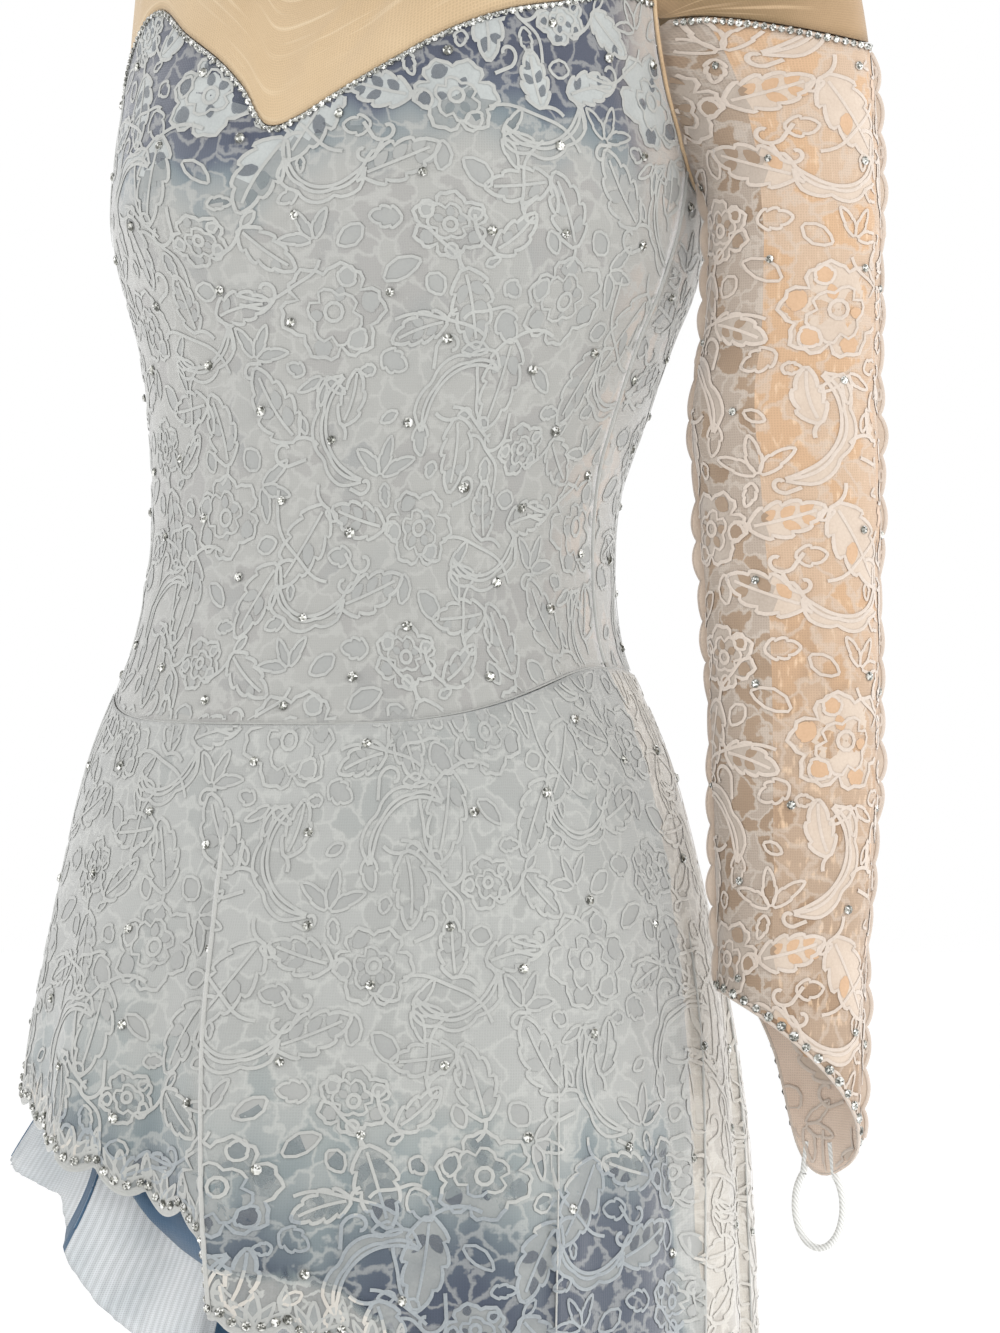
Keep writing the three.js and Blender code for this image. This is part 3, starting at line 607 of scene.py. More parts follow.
# Scalloped lower edge of the lace, hanging a little past its hem line.
scallop = {"width": 26, "depth": 7}


def laceHem(angle):
    along = np.asarray(angle, float) * degree * skirtRadius / scallop["width"]
    return hemZ("lace", angle) - scallop["depth"] * (np.abs(np.sin(along * math.pi)) ** 0.8 - 0.5)


# Meshes are built in mm and stored in metres, with two uv maps where cloth needs them.
def addMesh(name, vertices, faces, materials, faceMaterials=None, uvs=None, ombre=None):
    data = bpy.data.meshes.new(name)
    vertices = np.asarray(vertices, float) * metre
    faces = np.asarray(faces, int)
    data.vertices.add(len(vertices))
    data.vertices.foreach_set("co", vertices.ravel())
    sides = faces.shape[1]
    data.loops.add(faces.size)
    data.loops.foreach_set("vertex_index", faces.ravel())
    data.polygons.add(len(faces))
    data.polygons.foreach_set("loop_start", np.arange(0, faces.size, sides))
    data.polygons.foreach_set("use_smooth", np.ones(len(faces), bool))
    for material in materials:
        data.materials.append(material)
    if faceMaterials is not None:
        data.polygons.foreach_set("material_index", np.asarray(faceMaterials, int))
    for label, values in (("cloth", uvs), ("ombre", ombre)):
        if values is not None:
            layer = data.uv_layers.new(name=label)
            layer.data.foreach_set("uv", np.asarray(values, float)[faces.ravel()].ravel())
    data.update(calc_edges=True)
    data.validate()
    item = bpy.data.objects.new(name, data)
    scene.collection.objects.link(item)
    return item


def gridFaces(columns, rows, wrapped, flip):
    column, row = np.meshgrid(np.arange(columns), np.arange(rows), indexing="ij")
    total = columns if wrapped else columns + 1
    after = (column + 1) % total
    a, b = column * (rows + 1) + row, column * (rows + 1) + row + 1
    c, d = after * (rows + 1) + row + 1, after * (rows + 1) + row
    order = (a, d, c, b) if flip else (a, b, c, d)
    return np.stack(order, axis=-1).reshape(-1, 4), column.reshape(-1), row.reshape(-1)


def gridNormals(grid, wrapped):
    if wrapped:
        along = np.roll(grid, -1, axis=0) - np.roll(grid, 1, axis=0)
    else:
        along = np.gradient(grid, axis=0)
    return unit(np.cross(along, np.gradient(grid, axis=1)))


# Closed thin wall of cloth on a grid of outer points, with uv in metres of cloth.
def addShell(name, grid, materials, wrapped=False, flip=False, thickness=0.6, uv=None, ombre=None, pick=None,
             inside=None):
    columns = grid.shape[0] if wrapped else grid.shape[0] - 1
    rows = grid.shape[1] - 1
    inward = gridNormals(grid, wrapped) * (-thickness if flip else thickness)
    outer, inner = grid.reshape(-1, 3), (grid + inward).reshape(-1, 3)
    shift = len(outer)
    faces, faceColumn, faceRow = gridFaces(columns, rows, wrapped, flip)
    back = faces[:, ::-1] + shift
    total = grid.shape[0]
    step = np.arange(columns)
    after = (step + 1) % total
    edges = [(step * (rows + 1) + row, after * (rows + 1) + row, row == 0) for row in (0, rows)]
    if not wrapped:
        level = np.arange(rows)
        edges += [(last * (rows + 1) + level, last * (rows + 1) + level + 1, last > 0) for last in (0, total - 1)]
    rims = []
    for a, b, turned in edges:
        rim = np.stack((a, b, b + shift, a + shift), axis=-1)
        rims.append(rim if turned != flip else rim[:, ::-1])
    allFaces = np.concatenate([faces, back] + rims)
    picks = None
    if pick is not None:
        front = pick(faceColumn, faceRow)
        behind = front if inside is None else np.full(len(front), inside)
        picks = np.concatenate([front, behind, np.zeros(len(allFaces) - 2 * len(faces), int)])
    uvs = None if uv is None else np.concatenate([uv.reshape(-1, 2)] * 2)
    ombres = None if ombre is None else np.concatenate([ombre.reshape(-1, 2)] * 2)
    return addMesh(name, np.concatenate([outer, inner]), allFaces, materials, picks, uvs, ombres)


def declareSheet(item, node):
    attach(item, "root")
    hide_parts(node)


# Round tubes along paths, joined in one mesh. Each path is an array of points.
def tubeParts(path, radius, sides=6, closed=False):
    path = np.asarray(path, float)
    first, second = squareTo(slopes(path, closed))
    turn = np.arange(sides) * 2 * math.pi / sides
    ring = first[:, None] * np.cos(turn)[None, :, None] + second[:, None] * np.sin(turn)[None, :, None]
    vertices = (path[:, None] + ring * radius).reshape(-1, 3)
    count = len(path)
    steps = np.arange(count if closed else count - 1)
    side = np.arange(sides)
    a = steps[:, None] * sides + side
    b = steps[:, None] * sides + (side + 1) % sides
    after = (steps[:, None] + 1) % count
    faces = np.stack((a, b, after * sides + (side + 1) % sides, after * sides + side), axis=-1).reshape(-1, 4)
    return vertices, faces


def addTubes(name, paths, radius, material, sides=6, closed=False):
    vertices, faces, shift = [], [], 0
    for path in paths:
        v, f = tubeParts(path, radius, sides, closed)
        vertices.append(v)
        faces.append(f + shift)
        shift += len(v)
    item = addMesh(name, np.concatenate(vertices), np.concatenate(faces), [material])
    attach(item, "root")
    return item


# Colours are given as 0 to 255 and turned linear.
def colour(red, green, blue):
    def linear(value):
        value = value / 255
        return value / 12.92 if value <= 0.04045 else ((value + 0.055) / 1.055) ** 2.4
    return linear(red), linear(green), linear(blue), 1.0


def newMaterial(name, roughness, sheen=0.0):
    material = bpy.data.materials.new(name)
    material.use_nodes = True
    tree = material.node_tree
    shader = tree.nodes["Principled BSDF"]
    shader.inputs["Roughness"].default_value = roughness
    shader.inputs["Sheen Weight"].default_value = sheen
    shader.inputs["Sheen Roughness"].default_value = 0.5
    shader.inputs["Specular IOR Level"].default_value = 0.25
    return material, tree, shader


# A shader node. Each of its inputs is a constant or the socket that feeds it.
def addNode(tree, kind, inputs=(), **settings):
    node = tree.nodes.new("ShaderNode" + kind)
    for key, value in settings.items():
        setattr(node, key, value)
    for key, value in dict(inputs).items():
        if isinstance(value, bpy.types.NodeSocket):
            tree.links.new(value, node.inputs[key])
        else:
            node.inputs[key].default_value = value
    return node


def addRamp(tree, value, stops):
    ramp = addNode(tree, "ValToRGB", {"Fac": value})
    points = ramp.color_ramp.elements
    while len(points) < len(stops):
        points.new(0.5)
    for point, (place, tint) in zip(points, stops):
        point.position = place
        point.color = tint
    return ramp.outputs["Color"]


def addNoise(tree, vector, scale, detail, output="Fac"):
    return addNode(tree, "TexNoise", {"Vector": vector, "Scale": scale, "Detail": detail}).outputs[output]


def addMath(tree, operation, *values):
    return addNode(tree, "Math", dict(enumerate(values)), operation=operation).outputs[0]


def mixColours(tree, share, first, second, blend="MIX"):
    inputs = {"Factor": share, 6: first, 7: second}
    return addNode(tree, "Mix", inputs, data_type="RGBA", blend_type=blend).outputs[2]


def addRange(tree, value, low, high, start=0.0):
    inputs = {"Value": value, "From Min": start, "To Min": low, "To Max": high}
    return addNode(tree, "MapRange", inputs).outputs["Result"]


def addBump(tree, shader, height, strength, distance):
    bump = addNode(tree, "Bump", {"Height": height, "Strength": strength, "Distance": distance})
    tree.links.new(bump.outputs["Normal"], shader.inputs["Normal"])


black, white = (0, 0, 0, 1), (1, 1, 1, 1)
# Fine lace in the material: how far its cells are bent, in metres, and from which shade it begins to show
fineLace = {"bend": 0.032, "bendScale": 62, "fromShade": 0.35, "relief": 1.6}


# Cloth with a fine weave. The uv map "cloth" is in metres, so threads keep their real size.
def clothMaterial(name, settings):
    material, tree, shader = newMaterial(name, settings["roughness"], settings.get("sheen", 0.3))
    cloth = addNode(tree, "UVMap", uv_map="cloth").outputs["UV"]
    place = addNode(tree, "TexCoord").outputs["Object"]
    shade = 1.0
    if "ombre" in settings:
        split = addNode(tree, "SeparateXYZ", {0: addNode(tree, "UVMap", uv_map="ombre").outputs["UV"]})
        noise = addNoise(tree, place, settings["driftScale"], 3)
        drift = addMath(tree, "MULTIPLY_ADD", noise, settings["drift"], -settings["drift"] / 2)
        shade = addMath(tree, "ADD", split.outputs["Y"], drift)
        base = addRamp(tree, shade, settings["ombre"])
        if "cast" in settings:
            base = mixColours(tree, split.outputs["X"], base, settings["cast"])
    else:
        patch = addNoise(tree, place, settings.get("patchScale", 9), 4)
        base = addRamp(tree, patch, ((0.3, settings["dark"]), (0.7, settings["light"])))
    if "lines" in settings:
        wave = addNode(tree, "TexWave", {"Vector": cloth, "Scale": settings["lines"], "Distortion": 2.5, "Detail": 2,
                                         "Detail Scale": 0.4})
        base = mixColours(tree, settings["lineDepth"], base, wave.outputs["Color"], "MULTIPLY")
    if "streaks" in settings:
        slant = addNode(tree, "Mapping", {"Vector": cloth, "Rotation": (0, 0, settings["slant"] * degree),
                                          "Scale": settings["streakScale"]})
        streak = addNoise(tree, slant.outputs["Vector"], 1, 2)
        base = mixColours(tree, addRamp(tree, streak, ((0.56, black), (0.7, white))), base, settings["streaks"])
    if "fill" in settings:
        push = addNoise(tree, cloth, fineLace["bendScale"], 4, "Color")
        inputs = {0: push, 1: (fineLace["bend"], fineLace["bend"], 0), 2: cloth}
        bent = addNode(tree, "VectorMath", inputs, operation="MULTIPLY_ADD").outputs["Vector"]
        inputs = {"Vector": bent, "Scale": 1 / settings["cell"]}
        edges, cells = (addNode(tree, "TexVoronoi", inputs, feature=feature, voronoi_dimensions="2D")
                        for feature in ("DISTANCE_TO_EDGE", "F1"))
        ribbon = addRamp(tree, edges.outputs["Distance"], ((0.05, white), (0.13, black)))
        filled = addRamp(tree, cells.outputs["Color"], ((settings["open"], black), (settings["open"] + 0.03, white)))
        for mask, tint in ((filled, "fill"), (ribbon, "ribbon")):
            cover = addRange(tree, shade, *settings[tint + "Cover"], fineLace["fromShade"])
            base = mixColours(tree, addMath(tree, "MULTIPLY", mask, cover), base, settings[tint])
    # net: small round holes between darker threads
    inputs = {"Vector": cloth, "Scale": 1 / settings["pitch"], "Randomness": settings.get("random", 0.25)}
    net = addNode(tree, "TexVoronoi", inputs, feature="DISTANCE_TO_EDGE")
    hole = addRamp(tree, net.outputs["Distance"], ((0.05, white), (0.3, black)))
    tree.links.new(mixColours(tree, settings["netDepth"], base, hole, "MULTIPLY"), shader.inputs["Base Color"])
    height = addMath(tree, "ADD", hole, addNoise(tree, cloth, 500, 3))
    if "fill" in settings:
        height = addMath(tree, "MULTIPLY_ADD", ribbon, fineLace["relief"], height)
    addBump(tree, shader, height, settings.get("bump", 0.25), 0.0003)
    if "alpha" in settings:
        cover = addRange(tree, split.outputs["X"] if "ombre" in settings else hole, *settings["alpha"])
        if "fill" in settings:
            cover = addMath(tree, "MAXIMUM", cover, ribbon)
        tree.links.new(cover, shader.inputs["Alpha"])
    return material


def threadMaterial(name, dark, light, alpha=1.0):
    material, tree, shader = newMaterial(name, 0.7, 0.7)
    place = addNode(tree, "TexCoord").outputs["Object"]
    strands = addNoise(tree, place, 900, 2)
    patches = addMath(tree, "MULTIPLY", addNoise(tree, place, 60, 3), 0.6)
    both = addMath(tree, "MULTIPLY_ADD", strands, 0.4, patches)
    tree.links.new(addRamp(tree, both, ((0.35, dark), (0.65, light))), shader.inputs["Base Color"])
    addBump(tree, shader, strands, 0.35, 0.0002)
    shader.inputs["Alpha"].default_value = alpha
    return material


# Stones whose colour is painted reflection: a cloud of darker and brighter patches for what the facets mirror.
def stoneMaterial(name, dark, light, metallic):
    material, tree, shader = newMaterial(name, 0.12)
    cloud = addNoise(tree, addNode(tree, "TexCoord").outputs["Object"], 300, 1)
    tree.links.new(addRamp(tree, cloud, ((0.35, dark), (0.65, light))), shader.inputs["Base Color"])
    shader.inputs["Metallic"].default_value = metallic
    shader.inputs["Coat Weight"].default_value = 0.8
    shader.inputs["Coat Roughness"].default_value = 0.03
    return material


def elasticMaterial():
    material, tree, shader = newMaterial("white elastic", 0.6, 0.3)
    inputs = {"Vector": addNode(tree, "TexCoord").outputs["Object"], "Scale": 280, "Distortion": 0.4}
    ribs = addNode(tree, "TexWave", inputs, bands_direction="DIAGONAL").outputs["Fac"]
    tints = ((0.0, colour(202, 202, 198)), (1.0, colour(236, 236, 233)))
    tree.links.new(addRamp(tree, ribs, tints), shader.inputs["Base Color"])
    addBump(tree, shader, ribs, 0.4, 0.0003)
    return material


nudeMesh = clothMaterial("nude mesh", {
    "dark": colour(188, 162, 126), "light": colour(208, 184, 150), "pitch": 0.0011, "netDepth": 0.14,
    "roughness": 0.85, "bump": 0.3, "patchScale": 8, "streaks": colour(211, 189, 156), "slant": 118,
    "streakScale": (12, 260, 1)})
# A darker, browner copy of the nude mesh for the shoulder caps: painted shade.
capMeshPaintedShade = clothMaterial("shoulder cap mesh with painted shade", {
    "dark": colour(140, 117, 84), "light": colour(180, 151, 118), "pitch": 0.0011, "netDepth": 0.14,
    "roughness": 0.85, "bump": 0.3, "patchScale": 14, "streaks": colour(190, 162, 128), "slant": 100,
    "streakScale": (12, 200, 1)})
jersey = clothMaterial("dip dyed lace ground", {
    "ombre": ((0.0, colour(62, 68, 86)), (0.3, colour(78, 86, 102)), (0.5, colour(114, 125, 130)),
              (0.75, colour(140, 145, 145)), (1.0, colour(155, 154, 151))),
    "cast": colour(184, 175, 166), "fill": colour(163, 163, 159), "ribbon": colour(173, 173, 169), "cell": 0.0135,
    "open": 0.4, "fillCover": (0.04, 0.85), "ribbonCover": (0.45, 0.7),
    "drift": 0.5, "driftScale": 22, "pitch": 0.0012, "netDepth": 0.06, "roughness": 0.75, "sheen": 0.8})
laceNet = clothMaterial("skirt lace ground", {
    "ombre": ((0.0, colour(66, 74, 89)), (0.22, colour(80, 90, 101)), (0.48, colour(117, 128, 131)),
              (0.75, colour(143, 150, 149)), (1.0, colour(161, 162, 159))),
    "fill": colour(168, 169, 166), "ribbon": colour(178, 179, 175), "cell": 0.0145,
    "open": 0.4, "fillCover": (0.02, 0.85), "ribbonCover": (0.4, 0.7),
    "drift": 0.34, "driftScale": 12, "pitch": 0.0013, "netDepth": 0.06,
    "alpha": (0.5, 0.97), "roughness": 0.8, "sheen": 0.8, "random": 0.15})
laceNetSide = clothMaterial("undyed lace ground", {
    "dark": colour(174, 168, 159), "light": colour(184, 178, 169), "pitch": 0.0013, "netDepth": 0.06,
    "fill": colour(192, 186, 176), "ribbon": colour(204, 199, 190), "cell": 0.0125, "open": 0.42,
    "fillCover": (0.9, 0.9), "ribbonCover": (0.75, 0.75), "roughness": 0.8, "sheen": 0.8, "random": 0.15})
liningJersey = clothMaterial("dip dyed lining", {
    "ombre": ((0.0, colour(58, 86, 112)), (0.45, colour(66, 92, 116)), (0.62, colour(122, 136, 144)),
              (0.8, colour(162, 167, 166)), (1.0, colour(186, 186, 180))),
    "drift": 0.1, "driftScale": 12, "pitch": 0.0011, "netDepth": 0.06, "roughness": 0.6})
organza = clothMaterial("sheer organza", {
    "dark": colour(196, 203, 207), "light": colour(226, 229, 231), "pitch": 0.0009, "netDepth": 0.06,
    "alpha": (0.62, 0.8), "roughness": 0.5, "sheen": 0.4, "patchScale": 30, "lines": 80, "lineDepth": 0.2})
organzaBlue = clothMaterial("blue turned organza", {
    "dark": colour(48, 80, 108), "light": colour(72, 104, 130), "pitch": 0.0009, "netDepth": 0.1,
    "roughness": 0.5, "sheen": 0.3})
# The outer sleeve mesh darkens from the top towards the cuff.
sleeveNude = clothMaterial("sleeve mesh outer", {
    "ombre": ((0.0, colour(156, 131, 108)), (0.25, colour(168, 141, 116)), (0.5, colour(195, 161, 129)),
              (1.0, colour(201, 167, 134))),
    "drift": 0.5, "driftScale": 70, "pitch": 0.0012, "netDepth": 0.12, "streaks": colour(216, 187, 157),
    "streakScale": (330, 120, 1), "slant": 0, "fill": colour(194, 175, 157), "ribbon": colour(200, 184, 169),
    "cell": 0.016, "open": 0.44, "fillCover": (0.35, 0.62), "ribbonCover": (0.5, 0.55), "roughness": 0.8})
# A paler copy of the sleeve mesh for its inner faces: a painted highlight inside the cuff.
sleeveInsidePaintedHighlight = clothMaterial("inner sleeve mesh, painted highlight", {
    "dark": colour(214, 192, 174), "light": colour(230, 210, 193), "pitch": 0.0012, "netDepth": 0.12,
    "roughness": 0.8, "patchScale": 30})
# A darker copy of the sleeve mesh: painted shade on the strip next to the body.
sleeveShade = clothMaterial("sleeve mesh with painted shade", {
    "dark": colour(150, 127, 105), "light": colour(172, 149, 127), "pitch": 0.0012, "netDepth": 0.14,
    "fill": colour(178, 165, 153), "ribbon": colour(194, 182, 170), "cell": 0.012, "open": 0.46,
    "fillCover": (0.8, 0.8), "ribbonCover": (0.75, 0.75), "roughness": 0.8, "patchScale": 22})
laceFill = threadMaterial("lace filling", colour(168, 172, 171), colour(183, 187, 185), 0.95)
laceFillSoft = threadMaterial("soft lace filling", colour(160, 164, 163), colour(174, 177, 175), 0.6)
laceFillFaint = threadMaterial("faint lace filling", colour(160, 164, 163), colour(174, 177, 175), 0.3)
laceCord = threadMaterial("lace cord", colour(164, 165, 162), colour(177, 178, 174))
laceCordDim = threadMaterial("dyed lace cord", colour(136, 142, 146), colour(154, 160, 163))
laceCordPale = threadMaterial("undyed lace cord", colour(186, 181, 173), colour(200, 196, 188))
laceWindow = threadMaterial("net window", colour(151, 152, 150), colour(158, 159, 156))
laceWindowMiddle = threadMaterial("shaded net window", colour(126, 135, 138), colour(138, 146, 148), 0.55)
laceWindowDeep = threadMaterial("deep net window", colour(72, 80, 94), colour(88, 96, 108), 0.5)
sleeveFill = threadMaterial("sleeve lace filling", colour(192, 174, 157), colour(204, 188, 172))
# Darker copy of the sleeve filling: painted shade on the strip next to the body.
sleeveFillShade = threadMaterial("shaded sleeve filling", colour(168, 154, 141), colour(184, 171, 158))
sleeveCord = threadMaterial("sleeve lace cord", colour(194, 180, 167), colour(207, 194, 182))
sleeveWindow = threadMaterial("sleeve net window", colour(190, 156, 124), colour(202, 168, 136))
# Darker copy of the sleeve window: painted shade on the strip next to the body.
sleeveWindowShade = threadMaterial("shaded sleeve window", colour(146, 123, 101), colour(160, 137, 114))
waistThread = threadMaterial("waist seam", colour(154, 155, 151), colour(168, 168, 164))
foldThread = threadMaterial("folded lace edge", colour(170, 171, 167), colour(184, 184, 180))
blueThread = threadMaterial("blue rolled edge", colour(52, 84, 112), colour(74, 106, 132))
nudeBinding = threadMaterial("nude binding", colour(186, 158, 124), colour(212, 186, 150))
# Three painted tones for the facets: a glint, a mid reflection and a shadow.
stonePaintedGlint = stoneMaterial("rhinestone with painted glint", colour(204, 204, 198), colour(240, 240, 238), 0.3)
stonePaintedReflection = stoneMaterial("rhinestone", colour(128, 129, 122), colour(170, 170, 162), 0.5)
stonePaintedShadow = stoneMaterial("rhinestone shadow", colour(62, 63, 57), colour(98, 98, 90), 0.4)
elastic = elasticMaterial()
print("materials are made")


# The finger loops are the two free cords.
fingerLoop = {"diameter": 3.4, "halfWidth": 13, "bow": 19.8, "sweep": 140, "endTurn": 16, "endDrop": 0.6, "steps": 48}


def addFingerLoop(word):
    sleeve = sleeves[word]
    endZ = float(cuffZ(cuff["pointTurn"] + fingerLoop["endTurn"])) - fingerLoop["endDrop"]
    tip = sleeveSectionPoint(sleeve, cuff["pointTurn"], endZ)
    side = unit(sleeveSectionPoint(sleeve, cuff["pointTurn"] + fingerLoop["endTurn"], endZ)
                - sleeveSectionPoint(sleeve, cuff["pointTurn"] - fingerLoop["endTurn"], endZ))
    sweep = np.linspace(-1, 1, fingerLoop["steps"] + 1) * fingerLoop["sweep"] * degree
    points = tip + side * (fingerLoop["halfWidth"] * np.sin(sweep))[:, None]
    points[:, 2] -= fingerLoop["bow"] * (np.cos(sweep) - math.cos(fingerLoop["sweep"] * degree))
    data = bpy.data.curves.new(f"loop_{word}", "CURVE")
    data.dimensions = "3D"
    data.bevel_depth = fingerLoop["diameter"] / 2 * metre
    data.bevel_resolution = 3
    data.use_fill_caps = True
    spline = data.splines.new("POLY")
    spline.points.add(len(points) - 1)
    for point, place in zip(spline.points, points * metre):
        point.co = (*place, 1)
    spline.use_smooth = True
    item = bpy.data.objects.new(f"elastic_loop_{word}", data)
    scene.collection.objects.link(item)
    data.materials.append(elastic)
    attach(item, "root")
    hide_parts(f"finger_loop_{word}")
    # each end runs on up the inner face, where it is sewn down
    tails = [np.linspace(end, end + (0, 0, 15), 8) + side * lean * np.linspace(0, 1, 8)[:, None] * 2
             for end, lean in ((points[0], 1), (points[-1], -1))]
    addTubes(f"loop_tails_{word}", tails, fingerLoop["diameter"] / 2 * 0.96, elastic, 10)


for word in ("left", "right"):
    addFingerLoop(word)


# Net panels of the yoke and the tops of the sleeves.
yokePanels = {
    "front": {"columns": 220, "rows": 40, "cloth": yokeFrontCloth, "width": 0.33, "length": 0.12},
    "back": {"columns": 80, "rows": 30, "cloth": yokeBackCloth, "width": 0.32, "length": 0.15},
}
shoulderCap = {"columns": 44, "rows": 18, "bandGap": 1.0}


def paramGrid(columns, rows, wrapped=False):
    across = np.arange(columns) / columns if wrapped else np.linspace(0, 1, columns + 1)
    return np.meshgrid(across, np.linspace(0, 1, rows + 1), indexing="ij")


for word, panel in yokePanels.items():
    across, down = paramGrid(panel["columns"], panel["rows"])
    grid = panel["cloth"](across, down)
    item = addShell(f"yoke_{word}_mesh", grid, [nudeMesh],
                    uv=np.stack((across * panel["width"], down * panel["length"]), -1))
    declareSheet(item, f"yoke_{word}")

for word, sleeve in sleeves.items():
    bandTurn = float(turnAtHeight(sleeve["bandZ"])) * 0.985
    across, down = paramGrid(shoulderCap["columns"], shoulderCap["rows"])
    turn = lerp(-bandTurn, bandTurn, across)
    topZ = armholePlace(turn)[1]
    z = lerp(topZ, np.minimum(topZ, bandHeight(sleeve, turn) + shoulderCap["bandGap"]), down)
    capGrid = sleeveAtHeight(sleeve, turn, z)
    item = addShell(f"cap_mesh_{word}", capGrid, [capMeshPaintedShade], flip=sleeve["side"] > 0,
                    uv=np.stack((across * 0.2, down * 0.12), -1))
    declareSheet(item, f"shoulder_cap_{word}")
print("yoke is made")


# Bodice panels with their dip dye.
ombreDepth = 52
dyeEdge = {
    "angle": (-90, -70, -50, -30, -10, 5, 20, 40, 55, 75, 90),
    "z": (-172, -180, -190, -206, -210, -198, -186, -182, -186, -204, -210),
}


# The dye is darkest along the upper edge and fades down the cloth: 0 is dark and 1 pale.
def bodiceShade(angle, z):
    angle = np.asarray(angle, float)
    floor = readTable(dyeEdge, "angle", np.clip(angle, -90, 90), "z")
    wave = 5 * np.sin(angle * 0.21) + 3 * np.sin(angle * 0.53 + 1)
    return np.clip((floor + wave - z) / ombreDepth, 0, 1)


def backShade(_, z):
    return np.clip((-176 - z) / ombreDepth, 0, 1)


# A paler, warmer cast towards the side seams.
def sideCast(angle):
    fromSide = np.abs(np.mod(np.asarray(angle, float), 180) - 90)
    return smooth(1 - (fromSide - 3) / 17)


bodicePanels = {
    "front": {"columns": 130, "rows": 80, "place": bodiceFrontPlace, "shade": bodiceShade},
    "back": {"columns": 120, "rows": 70, "place": bodiceBackPlace, "shade": backShade},
}
for word, panel in bodicePanels.items():
    across, down = paramGrid(panel["columns"], panel["rows"])
    angle, z = panel["place"](across, down)
    grid = bodyCloth(angle, z)
    shade = np.stack((sideCast(angle), panel["shade"](angle, z)), -1)
    item = addShell(f"bodice_{word}_cloth", grid, [jersey], ombre=shade,
                    uv=np.stack((angle * degree * bodyRadius * metre, -z * metre), -1))
    declareSheet(item, f"bodice_{word}")
print("bodice is made")


# Sleeve tubes, with painted shade on the strip next to the body, where a darker copy of the mesh is put.
sleeveShell = {"columns": 72, "rows": 110, "innerFrom": 89, "innerTo": 230}
sleeveRadius = 35


def isInnerStrip(turn):
    wrapped = np.mod(turn, 360)
    return (wrapped > sleeveShell["innerFrom"]) & (wrapped < sleeveShell["innerTo"])


for word, sleeve in sleeves.items():
    across, down = paramGrid(sleeveShell["columns"], sleeveShell["rows"], wrapped=True)
    turn = across * 360
    z = lerp(sleeveTopHeight(sleeve, turn), cuffZ(turn), down ** 0.9)
    grid = sleeveCloth(word)(turn, z)
    # Inner faces take the paler copy with the painted highlight.
    item = addShell(f"sleeve_mesh_{word}", grid, [sleeveNude, sleeveShade, sleeveInsidePaintedHighlight], wrapped=True,
                    flip=sleeve["side"] > 0, inside=2, ombre=np.stack((across, 1 - down), -1),
                    uv=np.stack((across * 0.24, -z * metre), -1),
                    pick=lambda column, row: isInnerStrip((column + 0.5) * 360 / sleeveShell["columns"]).astype(int))
    declareSheet(item, f"sleeve_{word}")
print("sleeves are made")


# Skirt layers from the outside in.
skirtShells = {
    "lace": {"columns": 400, "rows": 48, "materials": [laceNet, laceNetSide], "slot": "skirt_lace", "thickness": 0.4},
    "lining": {"columns": 200, "rows": 30, "materials": [liningJersey], "slot": "skirt_lining", "thickness": 0.6},
    "mesh": {"columns": 400, "rows": 50, "materials": [organza, organzaBlue], "slot": "organza", "thickness": 0.4},
}


def isPleatFlank(column, row):
    angle = (column + 0.5) * 360 / skirtShells["mesh"]["columns"] - 180
    found = np.zeros(len(column), bool)
    for centre, width, depth in meshPleats:
        away = angleFrom(angle, centre)
        found |= (away > 0) & (away < width)
    return (found & (row > skirtShells["mesh"]["rows"] * 0.45)).astype(int)


# Columns of the lace near the left side, where the dye was kept off.
undyed = {"from": 94, "to": 134}


def isSideColumn(column, row):
    angle = (column + 0.5) * 360 / skirtShells["lace"]["columns"] - 180
    return ((angle > undyed["from"]) & (angle < undyed["to"])).astype(int)


columnPicks = {"lace": isSideColumn, "lining": None, "mesh": isPleatFlank}


# Heights round the skirt where the dye is fully dark and where it has faded out
dyeRise = {
    "angle": (-180, -120, -60, -30, 0, 22, 34, 42, 55, 68, 88, 95, 130, 150, 180),
    "darkZ": (-760, -740, -706, -710, -738, -776, -758, -736, -770, -722, -718, -1000, -1000, -800, -760),
    "paleZ": (-660, -610, -612, -620, -634, -646, -650, -650, -654, -658, -664, -830, -830, -700, -660),
}


def skirtShade(angle, z):
    angle = angleFrom(angle, 0)
    drift = 6 * np.sin(angle * 0.35) + 3.5 * np.sin(angle * 0.9)
    darkZ, paleZ = (np.interp(angle, dyeRise["angle"], dyeRise[name]) for name in ("darkZ", "paleZ"))
    shade = np.clip((z - darkZ + drift) / (paleZ - darkZ), 0, 1)
    return lerp(1.05, shade, smooth((z - hemZ("lining", angle) + 3) / 5))


for name, settings in skirtShells.items():
    across, down = paramGrid(settings["columns"], settings["rows"], wrapped=True)
    angle = across * 360 - 180
    hem = laceHem(angle) if name == "lace" else hemZ(name, angle)
    z = lerp(skirtTop(name, angle), hem, down)
    grid = skirtCloth(name)(angle, z)
    covered = smooth((z - hemZ("lining", angle) - 1) / 4) if name == "lace" else across
    shade = np.stack((covered, skirtShade(angle, z)), -1)
    item = addShell(f"skirt_{name}_cloth", grid, settings["materials"], wrapped=True, thickness=settings["thickness"],
                    uv=np.stack((angle * degree * skirtRadius * metre, -z * metre), -1), ombre=shade,
                    pick=columnPicks[name])
    declareSheet(item, f"skirt_{name}")
print("skirt is made")


